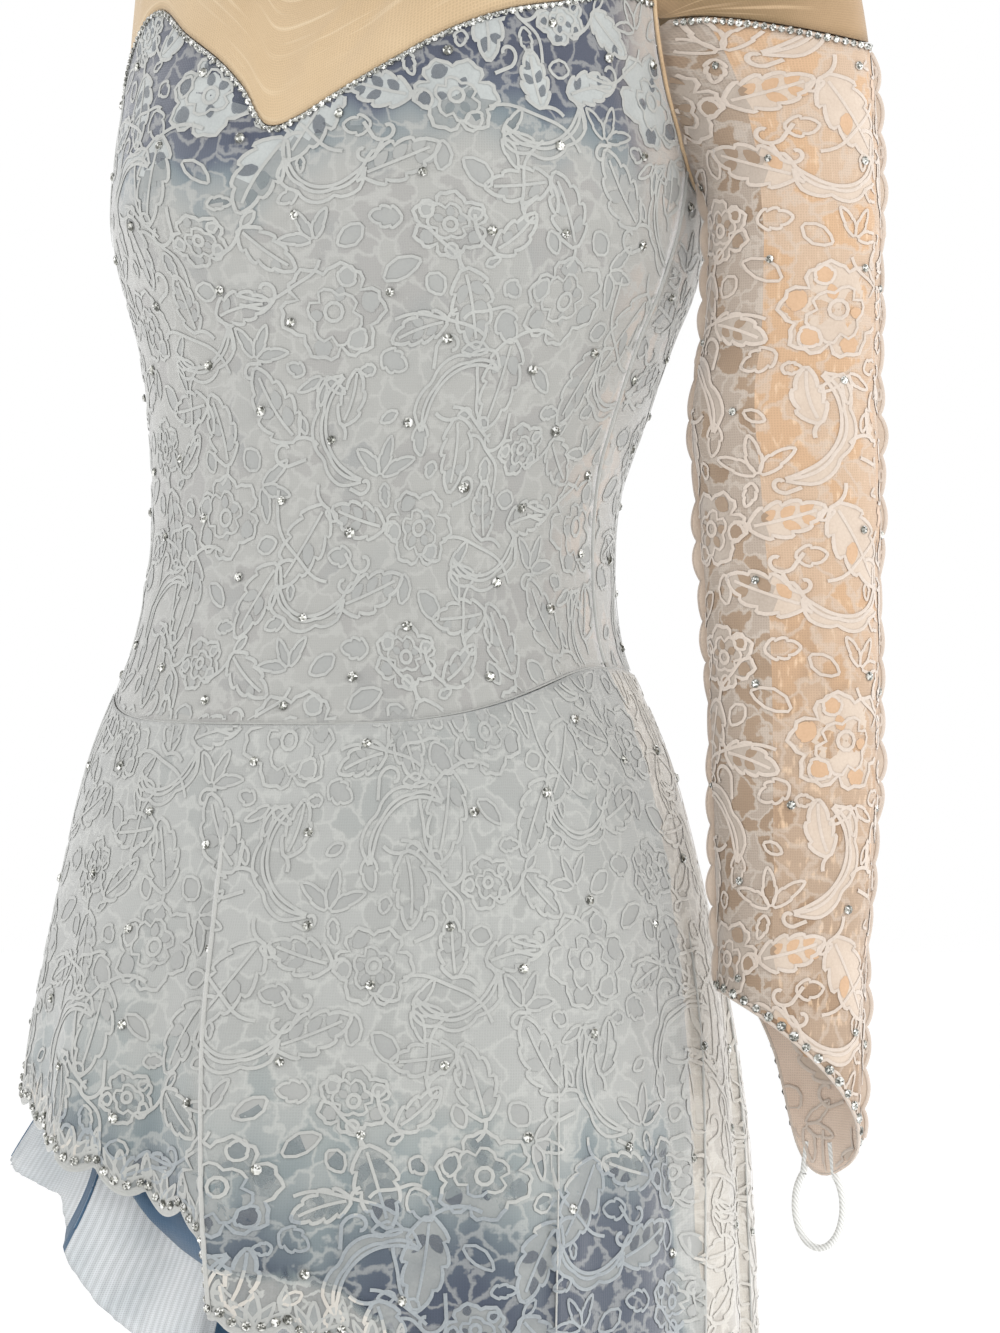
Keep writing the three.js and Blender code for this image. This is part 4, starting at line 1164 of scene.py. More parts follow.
# Corded floral lace. One repeat is drawn in cloth millimetres, from motif radii: raised cords, fillings, and
# small windows of net. On pale cloth the material has the filling, so only cords and windows are laid there.
laceRepeat = {"width": 176, "height": 200, "seed": 11,
              "flowers": (26, 23, 20, 17, 14), "scrolls": (34, 31, 28, 26),
              "leaves": (21, 20, 19, 18, 18, 17, 17, 16, 15, 15, 14, 14, 13, 13, 12, 12),
              "sprays": (11, 10, 10, 9, 9, 8),
              "windows": (10,) + (9,) * 3 + (8,) * 4 + (7,) * 5 + (6,) * 6 + (5,) * 6 + (4,) * 7,
              "curls": (9, 9, 8, 8, 7, 7, 6, 6, 5, 5), "lines": (54, 48, 44, 40, 36, 34, 32, 30, 28, 26)}
cordShape = {"halfWidth": 0.92, "foot": 0.1, "height": 0.32}
kinds = ("fill", "window", "gap", "cord")


def turned(points, angle, x=0.0, y=0.0):
    cosine, sine = math.cos(angle), math.sin(angle)
    points = np.asarray(points, float)
    return np.stack((points[..., 0] * cosine - points[..., 1] * sine + x,
                     points[..., 0] * sine + points[..., 1] * cosine + y), -1)


# A drawing keeps each kind apart: points, lifts off the cloth and faces.
def startDrawing():
    return {kind: {"points": [], "lifts": [], "faces": [], "count": 0} for kind in kinds}


def addToDrawing(drawing, kind, points, lifts, faces):
    part = drawing[kind]
    part["points"].append(points)
    part["lifts"].append(lifts)
    part["faces"].append(faces + part["count"])
    part["count"] += len(points)


def drawPatch(drawing, kind, grid, lift):
    faces = gridFaces(grid.shape[0] - 1, grid.shape[1] - 1, False, True)[0]
    points = grid.reshape(-1, 2)
    addToDrawing(drawing, kind, points, np.full(len(points), lift), faces)


# A raised cord along a line of points: two feet and a crown at each point.
def drawCord(drawing, line, closed=False, scale=1.0):
    line = np.asarray(line, float)
    normal = leftOf(line, closed) * cordShape["halfWidth"] * scale
    points = np.stack((line - normal, line, line + normal), axis=1)
    count = len(line)
    steps = np.arange(count if closed else count - 1)
    after = (steps + 1) % count
    faces = [np.stack((steps * 3 + k, after * 3 + k, after * 3 + k + 1, steps * 3 + k + 1), -1) for k in (0, 1)]
    foot = cordShape["foot"] + 0.35
    lifts = np.tile((foot, foot + cordShape["height"] * scale, foot), count)
    addToDrawing(drawing, "cord", points.reshape(-1, 2), lifts, np.concatenate(faces))


# A petal or leaf along a bent axis. Its lobes swell towards the tip and end in notches.
def bladeGrid(length, width, lobes, notch, bend, cells=4):
    inLobe = np.array((0.0, 0.25, 0.55, 0.85, 0.97))
    part = np.concatenate([(lobe + inLobe) / lobes for lobe in range(lobes)] + [[1.0]])
    swell = np.concatenate([np.tile(np.sin((0.25 + 0.75 * inLobe) * math.pi / 2), lobes), [1.0]])
    swell[4::5] *= 0.86
    half = width / 2 * np.sin(math.pi * np.clip(part, 0.015, 0.985) ** 0.8) ** 0.6 * (1 - notch + notch * swell)
    centre = np.stack((part * length, bend * length * part ** 2), -1)
    normal = leftOf(centre)
    shares = np.linspace(-1, 1, cells + 1)
    grid = centre[:, None] + normal[:, None] * (half[:, None] * shares)[..., None]
    return grid, np.concatenate([grid[:, 0], grid[::-1, -1]]), centre


# A net window with its outline; a gap lies lower than a window.
def drawWindow(drawing, kind, x, y, angle, length, width, lobes, notch, bend=0.0, outlined=True):
    grid, outline, _ = bladeGrid(length, width, lobes, notch, bend, 2)
    drawPatch(drawing, kind, turned(grid, angle, x, y), 0.34 if kind == "window" else 0.12)
    if outlined:
        drawCord(drawing, turned(outline, angle, x, y), closed=True, scale=0.8)


# A leaf with small windows in pairs beside its vein.
def drawLeaf(drawing, x, y, angle, length, width, lobes, bend, lift, chance):
    grid, outline, centre = bladeGrid(length, width, lobes, 0.42, bend, 4 if width > 9 else 2)
    drawPatch(drawing, "fill", turned(grid, angle, x, y), lift)
    drawCord(drawing, turned(outline, angle, x, y), closed=True)
    drawCord(drawing, turned(centre[1:-2:2], angle, x, y), scale=0.8)
    for lobe in range(1, lobes):
        for side in (-1, 1):
            if chance.uniform() < 0.45:
                continue
            part = (lobe - 0.25) / lobes
            spot = np.array([[part * length, bend * length * part ** 2 + side * width * 0.06]])
            startX, startY = turned(spot, angle, x, y)[0]
            drawWindow(drawing, "window", startX, startY, angle + side * 0.75, width * 0.42, length / lobes * 0.62,
                       1, 0.1, side * -0.15, False)


# A flower: lobed outline, rings round its heart and windows in some petals.
def drawFlower(drawing, x, y, radius, angle, lift, chance):
    petals = 6 if radius > 15 else 5
    sweep = np.linspace(0, 2 * math.pi, petals * 8 + 1)
    scallops = np.abs(np.sin(sweep * petals / 2)) ** 0.55
    frill = 1 + 0.045 * np.cos(sweep * petals * 2.5)
    rim = radius * (0.74 + 0.26 * scallops) * frill
    outline = np.stack((np.cos(sweep) * rim, np.sin(sweep) * rim * 0.86), -1)
    grid = outline[:, None] * np.array((1, 0.55, 0.02))[None, :, None]
    drawPatch(drawing, "fill", turned(grid, angle, x, y), lift)
    drawCord(drawing, turned(outline[:-1], angle, x, y), closed=True)
    if radius > 13:
        inner = outline[:-1:2] * 0.56 + np.array((0.08 * radius, 0.05 * radius))
        drawCord(drawing, turned(inner, angle + 0.4, x, y), closed=True, scale=0.8)
    ring = np.linspace(0, 2 * math.pi, 11)[:-1]
    drawCord(drawing, np.stack((x + np.cos(ring) * radius * 0.17, y + np.sin(ring) * radius * 0.17), -1), closed=True)
    for petal in range(petals):
        direction = angle + (petal + 0.5) * 2 * math.pi / petals
        start = radius * (0.56 if radius > 13 else 0.3)
        startX, startY = x + math.cos(direction) * start, y + math.sin(direction) * start * 0.9
        if chance.uniform() < 0.65:
            drawWindow(drawing, "window", startX, startY, direction + chance.uniform(-0.3, 0.3), radius * 0.36,
                       radius * chance.uniform(0.3, 0.46), 2, 0.25, 0.0, petal % 2 == 0)
        if radius > 13 and chance.uniform() < 0.6:
            startX, startY = x + math.cos(direction) * radius * 0.22, y + math.sin(direction) * radius * 0.2
            drawWindow(drawing, "window", startX, startY, direction, radius * 0.28, radius * 0.22, 1, 0.1, 0.0, False)


# A scroll: a bent band with lobes on its outer side and a curl at its end.
def drawScroll(drawing, x, y, angle, radius, hand, lift):
    sweep = np.linspace(0, 2.3, int(radius * 0.9))
    reach = radius * (1 - 0.15 * sweep)
    middle = np.stack((np.cos(sweep) * reach - radius * 0.75, hand * (np.sin(sweep) * reach - radius * 0.55)), -1)
    normal = leftOf(middle) * hand
    swell = np.minimum(1, np.sin(np.linspace(0.12, math.pi - 0.12, len(sweep))) * 2.2)
    inner = middle + normal * (swell * 1.6)[:, None]
    outer = middle - normal * (swell * (2.4 + 3.4 * np.abs(np.sin(sweep * 4.2)) ** 0.6))[:, None]
    grid = lerp(inner[:, None], outer[:, None], np.array((0, 0.5, 1))[None, :, None])
    drawPatch(drawing, "fill", turned(grid, angle, x, y), lift)
    for line in (inner, outer, (inner * 2 + outer) / 3):
        drawCord(drawing, turned(line, angle, x, y), scale=0.9)


def drawCurl(drawing, x, y, radius, angle, hand):
    sweep = np.linspace(0, 4.6, 18)
    reach = radius * np.exp(-0.34 * sweep)
    line = np.stack((np.cos(sweep) * reach, hand * np.sin(sweep) * reach), -1)
    stem = np.stack((np.full(5, radius), hand * np.linspace(-1.3 * radius, -0.2 * radius, 5)), -1)
    drawCord(drawing, turned(np.concatenate([stem, line]), angle, x, y))


def drawRepeat():
    width, height = laceRepeat["width"], laceRepeat["height"]
    chance = np.random.default_rng(laceRepeat["seed"])
    drawing = startDrawing()
    placed = []
    neighbours = [(column, row) for column in (-1, 0, 1) for row in (-1, -0.5, 0, 0.5, 1)
                  if (abs(row) == 0.5) == (abs(column) == 1)]

    def nearest(x, y):
        best, found = 1e9, (0.0, 0.0, 1.0)
        for centreX, centreY, radius in placed:
            for column, row in neighbours:
                offX, offY = centreX + column * width, centreY + row * height
                gap = math.hypot(x - offX, y - offY) - radius
                if gap < best:
                    best, found = gap, (offX, offY, radius)
        return best, found

    def place(radius):
        spots = chance.uniform(0, 1, (120, 2)) * (width, height)
        x, y = spots[int(np.argmax([nearest(x, y)[0] for x, y in spots]))]
        found = nearest(x, y)[1]
        placed.append((x, y, radius))
        return x, y, found

    for index, radius in enumerate(laceRepeat["flowers"]):
        x, y, _ = place(radius)
        drawFlower(drawing, x, y, radius, chance.uniform(0, 6.28), 0.14 + 0.01 * index, chance)
    for index, radius in enumerate(laceRepeat["scrolls"]):
        x, y, _ = place(radius * 0.5)
        drawScroll(drawing, x, y, chance.uniform(0, 6.28), radius, chance.choice((-1, 1)), 0.2 + 0.01 * index)
    for index, radius in enumerate(laceRepeat["leaves"]):
        x, y, found = place(radius * 0.62)
        away = math.atan2(y - found[1], x - found[0]) + chance.uniform(-0.7, 0.7)
        startX, startY = x - math.cos(away) * radius, y - math.sin(away) * radius
        drawLeaf(drawing, startX, startY, away, radius * 2.1, radius * 1.15, 4 if radius > 12 else 3,
                 chance.uniform(-0.3, 0.3), 0.22 + 0.005 * index, chance)
        rimX = found[0] + math.cos(away) * found[2] * 0.7
        rimY = found[1] + math.sin(away) * found[2] * 0.7
        part = np.linspace(0, 1, 8)[:, None]
        sag = np.array((-(startY - rimY), startX - rimX)) * 0.3
        line = lerp(np.array((rimX, rimY)), np.array((startX, startY)), part) + sag * part * (1 - part) * 2
        if math.hypot(startX - rimX, startY - rimY) < 34:
            drawCord(drawing, line)
    for radius in laceRepeat["sprays"]:
        x, y, _ = place(radius)
        angle = chance.uniform(0, 6.28)
        for petal in (-1, 0, 1):
            direction = angle + petal * 0.8
            drawWindow(drawing, "gap", x - math.cos(angle) * radius + math.cos(direction) * 2,
                       y - math.sin(angle) * radius + math.sin(direction) * 2, direction, radius * 1.6,
                       radius * 0.62, 2, 0.3, 0.2 * petal)
    for radius in laceRepeat["windows"]:
        x, y, _ = place(radius * 0.8)
        angle = chance.uniform(0, 6.28)
        drawWindow(drawing, "gap", x - math.cos(angle) * radius * 0.9, y - math.sin(angle) * radius * 0.9, angle,
                   radius * 1.8, radius * chance.uniform(0.9, 1.7), int(chance.integers(1, 4)), 0.45,
                   chance.uniform(-0.35, 0.35))
    for radius in laceRepeat["curls"]:
        x, y, _ = place(radius * 0.6)
        drawCurl(drawing, x, y, radius, chance.uniform(0, 6.28), chance.choice((-1, 1)))
    for radius in laceRepeat["lines"]:
        x, y = chance.uniform(0, 1, 2) * (width, height)
        sweep = np.linspace(0, chance.uniform(0.8, 1.5), 16)
        arc = np.stack((np.cos(sweep) * radius - radius, np.sin(sweep) * radius), -1)
        arc += np.stack((np.sin(sweep * 9) * 0.7, np.cos(sweep * 7) * 0.7), -1)
        drawCord(drawing, turned(arc, chance.uniform(0, 6.28), x, y), scale=0.9)
    return drawing


# How dark the ground is, from -1 undyed to 1 fully dyed, where the threads laid on it change; on the sleeves the same
# scale carries painted shade, 1 on the strip next to the body
dyeLimits = {"undyed": -0.5, "middleWindow": 0.15, "fill": 0.25, "gap": 0.5, "deep": 0.6}


# Copies a drawing over a region of cloth and lays it on the surface. Where the ground is dyed dark the
# fillings are kept and the windows are deep; on the sleeves, painted shade on the strip next to the body picks the
# darker copies of the threads there. The materials are two fillings, cord, three windows, two cords.
def layLace(name, drawing, tiles, toPlace, surface, isInside, materials, darkness, outward=1):
    points, lifts, faces, picks, count = [], [], [], [], 0
    for kind in kinds:
        if not drawing[kind]["points"]:
            continue
        base = np.concatenate(drawing[kind]["points"])
        baseLift = np.concatenate(drawing[kind]["lifts"])
        baseFaces = np.concatenate(drawing[kind]["faces"])
        for offX, offY in tiles:
            spot = base + (offX, offY)
            first, second = toPlace(spot[:, 0], spot[:, 1])
            kept = isInside(first, second)[baseFaces].all(axis=1)
            dark = darkness(first, second)[baseFaces].mean(axis=1)
            if kind == "fill":
                kept &= dark > dyeLimits["fill"]
            if kind in ("gap", "window"):
                kept &= (dark > dyeLimits["undyed"]) & ((dark < dyeLimits["gap"]) | (kind == "window"))
            if not kept.any():
                continue
            chosen, dark = baseFaces[kept], dark[kept]
            used, inverse = np.unique(chosen, return_inverse=True)
            points.append(np.stack((first[used], second[used]), -1))
            lifts.append(baseLift[used])
            faces.append(inverse.reshape(chosen.shape) + count)
            deep, pale = dark > dyeLimits["deep"], dark < dyeLimits["undyed"]
            windows = np.where(dark > dyeLimits["middleWindow"], np.where(deep, 5, 4), 3)
            cords = np.where(deep, 6, np.where(pale, 7, 2)) if len(materials) > 6 else np.full(len(dark), 2)
            picks.append({"fill": np.where(deep, 1, 0), "cord": cords}.get(kind, windows))
            count += len(used)
    places, lifts = np.concatenate(points), np.concatenate(lifts)
    vertices = liftOn(surface, places[:, 0], places[:, 1], lifts, outward)
    allFaces = np.concatenate(faces)
    if outward < 0:
        allFaces = allFaces[:, ::-1]
    item = addMesh(name, vertices, allFaces, materials, np.concatenate(picks))
    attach(item, "root")
    print(name, len(allFaces) * 2, "triangles")
    return item


def liftOn(surface, first, second, lift, outward=1):
    point = surface(first, second)
    along = surface(first + 0.4, second) - surface(first - 0.4, second)
    downward = surface(first, second - 0.6) - surface(first, second + 0.6)
    normal = unit(np.cross(downward, along)) * outward
    return point + normal * np.asarray(lift)[..., None]


def tilesOver(lowX, highX, lowY, highY):
    width, height = laceRepeat["width"], laceRepeat["height"]
    tiles = []
    for column in range(int(lowX // width) - 1, int(highX // width) + 2):
        shift = height / 2 if column % 2 else 0
        for row in range(int(lowY // height) - 2, int(highY // height) + 2):
            tiles.append((column * width, row * height + shift))
    return tiles


repeatDrawing = drawRepeat()


def bodyToPlace(x, y):
    return x / bodyRadius / degree, -y


def insideFront(angle, z):
    limit = sideAngle(z) - sideGapAngle - 0.3
    share = np.clip(angle / np.maximum(limit, 1), -1, 1)
    top = readTable(sweetheart, "angle", share * widestAngle, "z")
    return (np.abs(angle) < limit) & (z < top - 1) & (z > waistZ(angle) + 1)


def insideBack(angle, z):
    side = sideAngle(np.minimum(z, sideSeam["z"][0])) + sideGapAngle + 0.4
    fromSide = np.minimum(angle, 360 - angle)
    backLimit = np.where(z > sideSeam["z"][0], armholePlace(360 - turnAtHeight(z))[0], side)
    return (fromSide > backLimit + 0.4) & (z < backEdgeZ(angle) - 1) & (z > waistZ(angle) + 1)


# Darkness of the ground from its dye shade; full shade leaves it a little under zero.
def darknessFrom(shadeAt, full, span):
    return lambda angle, z: full - shadeAt(angle, z) * span


threads = [laceFillSoft, laceFill, laceCord, laceWindow, laceWindowMiddle, laceWindowDeep]
bodiceDepth = (140, 500)
for word, reach, isInside in (("front", (-220, 220), insideFront), ("back", (200, 650), insideBack)):
    layLace(f"lace_bodice_{word}", repeatDrawing, tilesOver(*reach, *bodiceDepth), bodyToPlace, bodyCloth, isInside,
            threads, darknessFrom(bodicePanels[word]["shade"], 1.35, 1.7))


def skirtToPlace(x, y):
    return x / skirtRadius / degree, -y


def insideSkirt(angle, z):
    return (angle >= -180) & (angle <= 180) & (z < skirtTop("lace", angle) - 0.5) & (z > laceHem(angle) + 5)


laceSurface = skirtCloth("lace")


# Below the lining hem and on the undyed side the lace is pale and no window is laid.
def skirtDarkness(angle, z):
    bare = (z < hemZ("lining", angle) + 1) | ((angle > undyed["from"]) & (angle < undyed["to"]))
    return np.where(bare, -1, darknessFrom(skirtShade, 1.3, 1.55)(angle, z))


skirtThreads = [laceFillFaint, laceFillSoft, laceCord, laceWindow, laceWindowMiddle, laceWindowDeep, laceCordDim,
                laceCordPale]
skirtTiles = tilesOver(-520, 520, 450, 900)
layLace("lace_skirt", repeatDrawing, skirtTiles, skirtToPlace, laceSurface, insideSkirt, skirtThreads, skirtDarkness)


# The scalloped lace border of the skirt, drawn against the hem: x runs along the cloth, y up from the scalloped edge.
def drawBorder():
    drawing = startDrawing()
    width = scallop["width"]
    for index in range(-20, 20):
        middle = (index + 0.5) * width
        for petal in range(5):
            direction = math.pi / 2 + (petal - 2) * 0.62
            reach = 16 if petal == 2 else 13
            grid, outline, _ = bladeGrid(reach, 5.8, 1, 0.2, 0.06 * (petal - 2), 2)
            drawPatch(drawing, "fill", turned(grid, direction, middle, 3.2), 0.4 + 0.02 * petal)
            drawCord(drawing, turned(outline, direction, middle, 3.2), closed=True, scale=0.9)
        drawCurl(drawing, middle - width / 2, 13, 3.4, 0.4 + index, 1)
        grid, outline, _ = bladeGrid(10, 5, 1, 0.2, 0.05, 2)
        drawPatch(drawing, "fill", turned(grid, math.pi / 2, middle - width / 2, 7), 0.4)
        drawCord(drawing, turned(outline, math.pi / 2, middle - width / 2, 7), closed=True, scale=0.9)
    edge = np.arange(-20 * width, 20 * width + 1, 1.6)
    for height in (0.6, 2.4):
        drawCord(drawing, np.stack((edge, np.full(len(edge), height)), -1), scale=1.1)
    return drawing


def hemToPlace(x, y):
    angle = x / skirtRadius / degree
    return angle, laceHem(angle) + y


def alwaysInside(angle, z):
    return (angle >= -180) & (angle <= 180)


def fullDarkness(first, second):
    return np.ones(np.shape(first))


layLace("lace_skirt_border", drawBorder(), [(0, 0)], hemToPlace, laceSurface, alwaysInside,
        [laceFillSoft, laceFillSoft, laceCord], fullDarkness)
print("lace is laid")


# Lace on the sleeves, outside and in the open end of the cuff.
def sleeveToPlace(x, y):
    return x / sleeveRadius / degree, -y


def insideSleeve(sleeve):
    def check(turn, z):
        return (turn >= 0) & (turn < 360) & (z < sleeveTopHeight(sleeve, turn) - 1.2) & (z > cuffZ(turn) + 1.5)
    return check


# 1 on the strip next to the body, where the threads take painted shade; 0.5 elsewhere.
def stripPaintedShade(turn, z):
    return np.where(isInnerStrip(turn), 1, 0.5)


innerCuff = {"below": -590, "fromTurn": 180, "lift": 0.7}


# The inner face, for the lace that shows inside the low end of a cuff.
def innerSleeve(word):
    cloth = sleeveCloth(word)

    def surface(turn, z):
        return liftOn(cloth, turn, z, np.full(np.shape(turn), -innerCuff["lift"]), -sleeves[word]["side"])

    return surface


def insideCuff(sleeve):
    check = insideSleeve(sleeve)

    def low(turn, z):
        return check(turn, z) & (z < innerCuff["below"]) & (turn > innerCuff["fromTurn"])

    return low


# The second filling and the last window carry painted shade for the strip next to the body.
sleeveThreads = [sleeveFill, sleeveFillShade, sleeveCord, sleeveWindow, sleeveWindow, sleeveWindowShade]
for word, sleeve in sleeves.items():
    layLace(f"lace_sleeve_{word}", repeatDrawing, tilesOver(0, 225, 140, 720), sleeveToPlace, sleeveCloth(word),
            insideSleeve(sleeve), sleeveThreads, stripPaintedShade, -sleeve["side"])
    layLace(f"lace_inside_cuff_{word}", repeatDrawing, tilesOver(0, 225, 580, 720), sleeveToPlace, innerSleeve(word),
            insideCuff(sleeve), [sleeveFill, sleeveFill, sleeveCord] + [sleeveWindow] * 3, fullDarkness,
            sleeve["side"])


# A scalloped lace edge stands off the sleeve along a line: x runs down the sleeve, y off its surface.
sleeveEdge = {"turns": (-22, 158), "scallop": 19, "height": 3.6}


def drawSleeveEdge(length):
    drawing = startDrawing()
    line = np.arange(0, length, 1.2)
    wave = np.abs(np.sin(line / sleeveEdge["scallop"] * math.pi)) ** 0.7
    top = sleeveEdge["height"] * (0.3 + 0.7 * wave) * (0.8 + 0.3 * np.sin(line * 0.043) + 0.14 * np.sin(line * 0.117))
    grid = np.stack((np.repeat(line[:, None], 4, axis=1), top[:, None] * np.linspace(-0.2, 1, 4)), -1)
    drawPatch(drawing, "fill", grid, 0.0)
    drawCord(drawing, np.stack((line, top), -1), scale=0.9)
    for middle in np.arange(sleeveEdge["scallop"] / 2, length - 6, sleeveEdge["scallop"] * 2):
        sweep = np.linspace(0, 2 * math.pi, 13)[:-1]
        ring = np.stack((middle + np.cos(sweep) * 2.6, 1.5 + np.sin(sweep) * 1.0), -1)
        drawCord(drawing, ring, closed=True, scale=0.7)
    return drawing


def sleeveEdgeSurface(word, turn, topZ):
    cloth = sleeveCloth(word)

    def surface(x, y):
        z = topZ - x
        here = np.full(x.shape, float(turn))
        ahead = cloth(here + 3, z) - cloth(here - 3, z)
        lengthwise = cloth(here, z - 2) - cloth(here, z + 2)
        away = unit(np.cross(ahead, lengthwise)) * sleeves[word]["side"]
        return cloth(here, z) + away * y[..., None]

    return surface


for word in sleeves:
    for number, turn in enumerate(sleeveEdge["turns"]):
        topZ = float(sleeveTopHeight(sleeves[word], turn)) - 4
        length = topZ - float(cuffZ(turn)) - 4
        layLace(f"lace_edge_{word}_{number}", drawSleeveEdge(length), [(0, 0)], lambda x, y: (x, y),
                sleeveEdgeSurface(word, turn, topZ), lambda x, y: x < length,
                [sleeveFill, sleeveFill, sleeveCord], fullDarkness)


# Rhinestones: heights and table width as shares of the radius.
stoneShape = {"sides": 8, "girdle": 0.3, "height": 0.66, "table": 0.56}


# Faceted stones joined in one mesh: a short wall, a crown of triangles and a flat table. Each facet is given at random
# one of three painted tones: glint, mid reflection and shadow.
def addStones(name, places, normals, radius, seed):
    sides = stoneShape["sides"]
    chance = np.random.default_rng(seed)
    places, normals = np.asarray(places, float), unit(np.asarray(normals, float))
    first, second = squareTo(normals)
    spin = chance.uniform(0, 2 * math.pi, len(places))
    size = radius * chance.uniform(0.9, 1.1, len(places))
    rings = []
    for height, reach, shift in ((0.0, 1.0, 0.0), (stoneShape["girdle"], 1.0, 0.0),
                                 (stoneShape["height"], stoneShape["table"], 0.5)):
        angles = spin[:, None] + (np.arange(sides) + shift) * 2 * math.pi / sides
        offset = first[:, None] * np.cos(angles)[..., None] + second[:, None] * np.sin(angles)[..., None]
        rings.append(places[:, None] + (offset * reach + normals[:, None] * height) * size[:, None, None])
    top = places[:, None] + (normals * stoneShape["height"] * size[:, None])[:, None]
    vertices = np.concatenate(rings + [top], axis=1).reshape(-1, 3)
    here = np.arange(sides)
    base, girdle, table = (here + sides * ring for ring in range(3))
    baseNext, girdleNext, tableNext = ((here + 1) % sides + sides * ring for ring in range(3))
    centre = np.full(sides, 3 * sides)
    pattern = np.concatenate([
        np.stack((base, baseNext, girdleNext), -1), np.stack((base, girdleNext, girdle), -1),
        np.stack((girdle, girdleNext, table), -1), np.stack((girdleNext, tableNext, table), -1),
        np.stack((table, tableNext, centre), -1)])
    faces = (np.arange(len(places))[:, None, None] * (3 * sides + 1) + pattern[None]).reshape(-1, 3)
    facetPaintedTones = chance.choice((0, 0, 1, 1, 2, 2), len(faces))
    item = addMesh(name, vertices, faces, [stonePaintedGlint, stonePaintedReflection, stonePaintedShadow], facetPaintedTones)
    item.data.polygons.foreach_set("use_smooth", np.zeros(len(faces), bool))
    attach(item, "root")
    return item


# Points spaced evenly along a path.
def evenly(path, pitch):
    path = np.asarray(path, float)
    steps = np.concatenate([[0], np.cumsum(np.linalg.norm(np.diff(path, axis=0), axis=-1))])
    count = max(2, int(round(steps[-1] / pitch)) + 1)
    wanted = np.linspace(0, steps[-1], count)
    return np.stack([np.interp(wanted, steps, path[:, k]) for k in range(3)], -1)


def normalsOn(surface, first, second, outward=1):
    return liftOn(surface, first, second, np.ones(np.shape(first)), outward) - surface(first, second)


# Spots at least so far apart over a region of cloth, taken one by one.
def scatter(seed, reach, lowX, highX, lowY, highY, toPlace, isInside):
    chance = np.random.default_rng(seed)
    tries = chance.uniform(0, 1, (3000, 2)) * (highX - lowX, highY - lowY) + (lowX, lowY)
    spots = []
    for spot in tries[isInside(*toPlace(tries[:, 0], tries[:, 1]))]:
        if all(math.hypot(*(spot - other)) > reach for other in spots):
            spots.append(spot)
    spots = np.array(spots)
    return toPlace(spots[:, 0], spots[:, 1])


# A row of stones along a line on the cloth.
def addRow(name, surface, first, second, trim, seed, outward=1):
    points = liftOn(surface, first, second, np.full(first.shape, trim["lift"]), outward)
    normals = normalsOn(surface, first, second, outward)
    both = evenly(points, trim["pitch"])
    nearest = ((both[:, None] - points[None]) ** 2).sum(-1).argmin(axis=1)
    return addStones(name, both, normals[nearest], trim["radius"], seed)


looseStones = {"spacing": 37, "skirtSpacing": 41.44, "sleeveSpacing": 42, "radius": 2.35, "sleeveRadius": 2.0}
sweetheartTrim = {"drop": 1.7, "pitch": 3.9, "radius": 1.55, "lift": 0.7}
hemTrim = {"rise": 4.6, "pitch": 6.9, "radius": 2.15, "lift": 0.8}
bandTrim = {"drop": 1.6, "pitch": 4.4, "radius": 1.75, "lift": 0.7}
cuffTrim = {"rise": 3.4, "pitch": 7.4, "radius": 2.2, "lift": 0.5}


# Stones scattered over a region of cloth. The seeds are for their places and for their turn and painted facet tones.
def addLoose(name, seeds, spacing, region, toPlace, surface, isInside, radius, lift=0.55, outward=1):
    first, second = scatter(seeds[0], spacing, *region, toPlace, isInside)
    places = liftOn(surface, first, second, np.full(first.shape, lift), outward)
    addStones(name, places, normalsOn(surface, first, second, outward), radius, seeds[1])


share = np.linspace(0.004, 0.996, 700)
edgeAngle, edgeZ = frontEdge(share)
trimZ = edgeZ - sweetheartTrim["drop"]
trimAngle = edgeAngle / widestAngle * (sideAngle(trimZ) - sideGapAngle)
addRow("stones_sweetheart", bodyCloth, trimAngle, trimZ, sweetheartTrim, 3)
addTubes("sweetheart_cord", [liftOn(bodyCloth, trimAngle, trimZ + 0.6, np.full(share.shape, 0.35))], 0.75,
         laceCord)

addLoose("stones_bodice_front", (5, 6), looseStones["spacing"], (-220, 220, 160, 490), bodyToPlace, bodyCloth,
         lambda a, z: insideFront(a, z + 4) & insideFront(a, z - 4) & insideFront(a * 1.03, z), looseStones["radius"])
addLoose("stones_bodice_back", (8, 9), looseStones["spacing"], (210, 640, 160, 490), bodyToPlace, bodyCloth,
         lambda a, z: insideBack(a, z + 4) & insideBack(a, z - 4), looseStones["radius"])
addLoose("stones_skirt", (12, 13), looseStones["skirtSpacing"], (-516, 516, 480, 860), skirtToPlace, laceSurface,
         lambda a, z: insideSkirt(a, z) & (z > laceHem(a) + 16) & (z < skirtTop("lace", a) - 6), looseStones["radius"])
hemAngle = np.linspace(-180, 179.6, 1400)
addRow("stones_hem", laceSurface, hemAngle, laceHem(hemAngle) + hemTrim["rise"], hemTrim, 14)

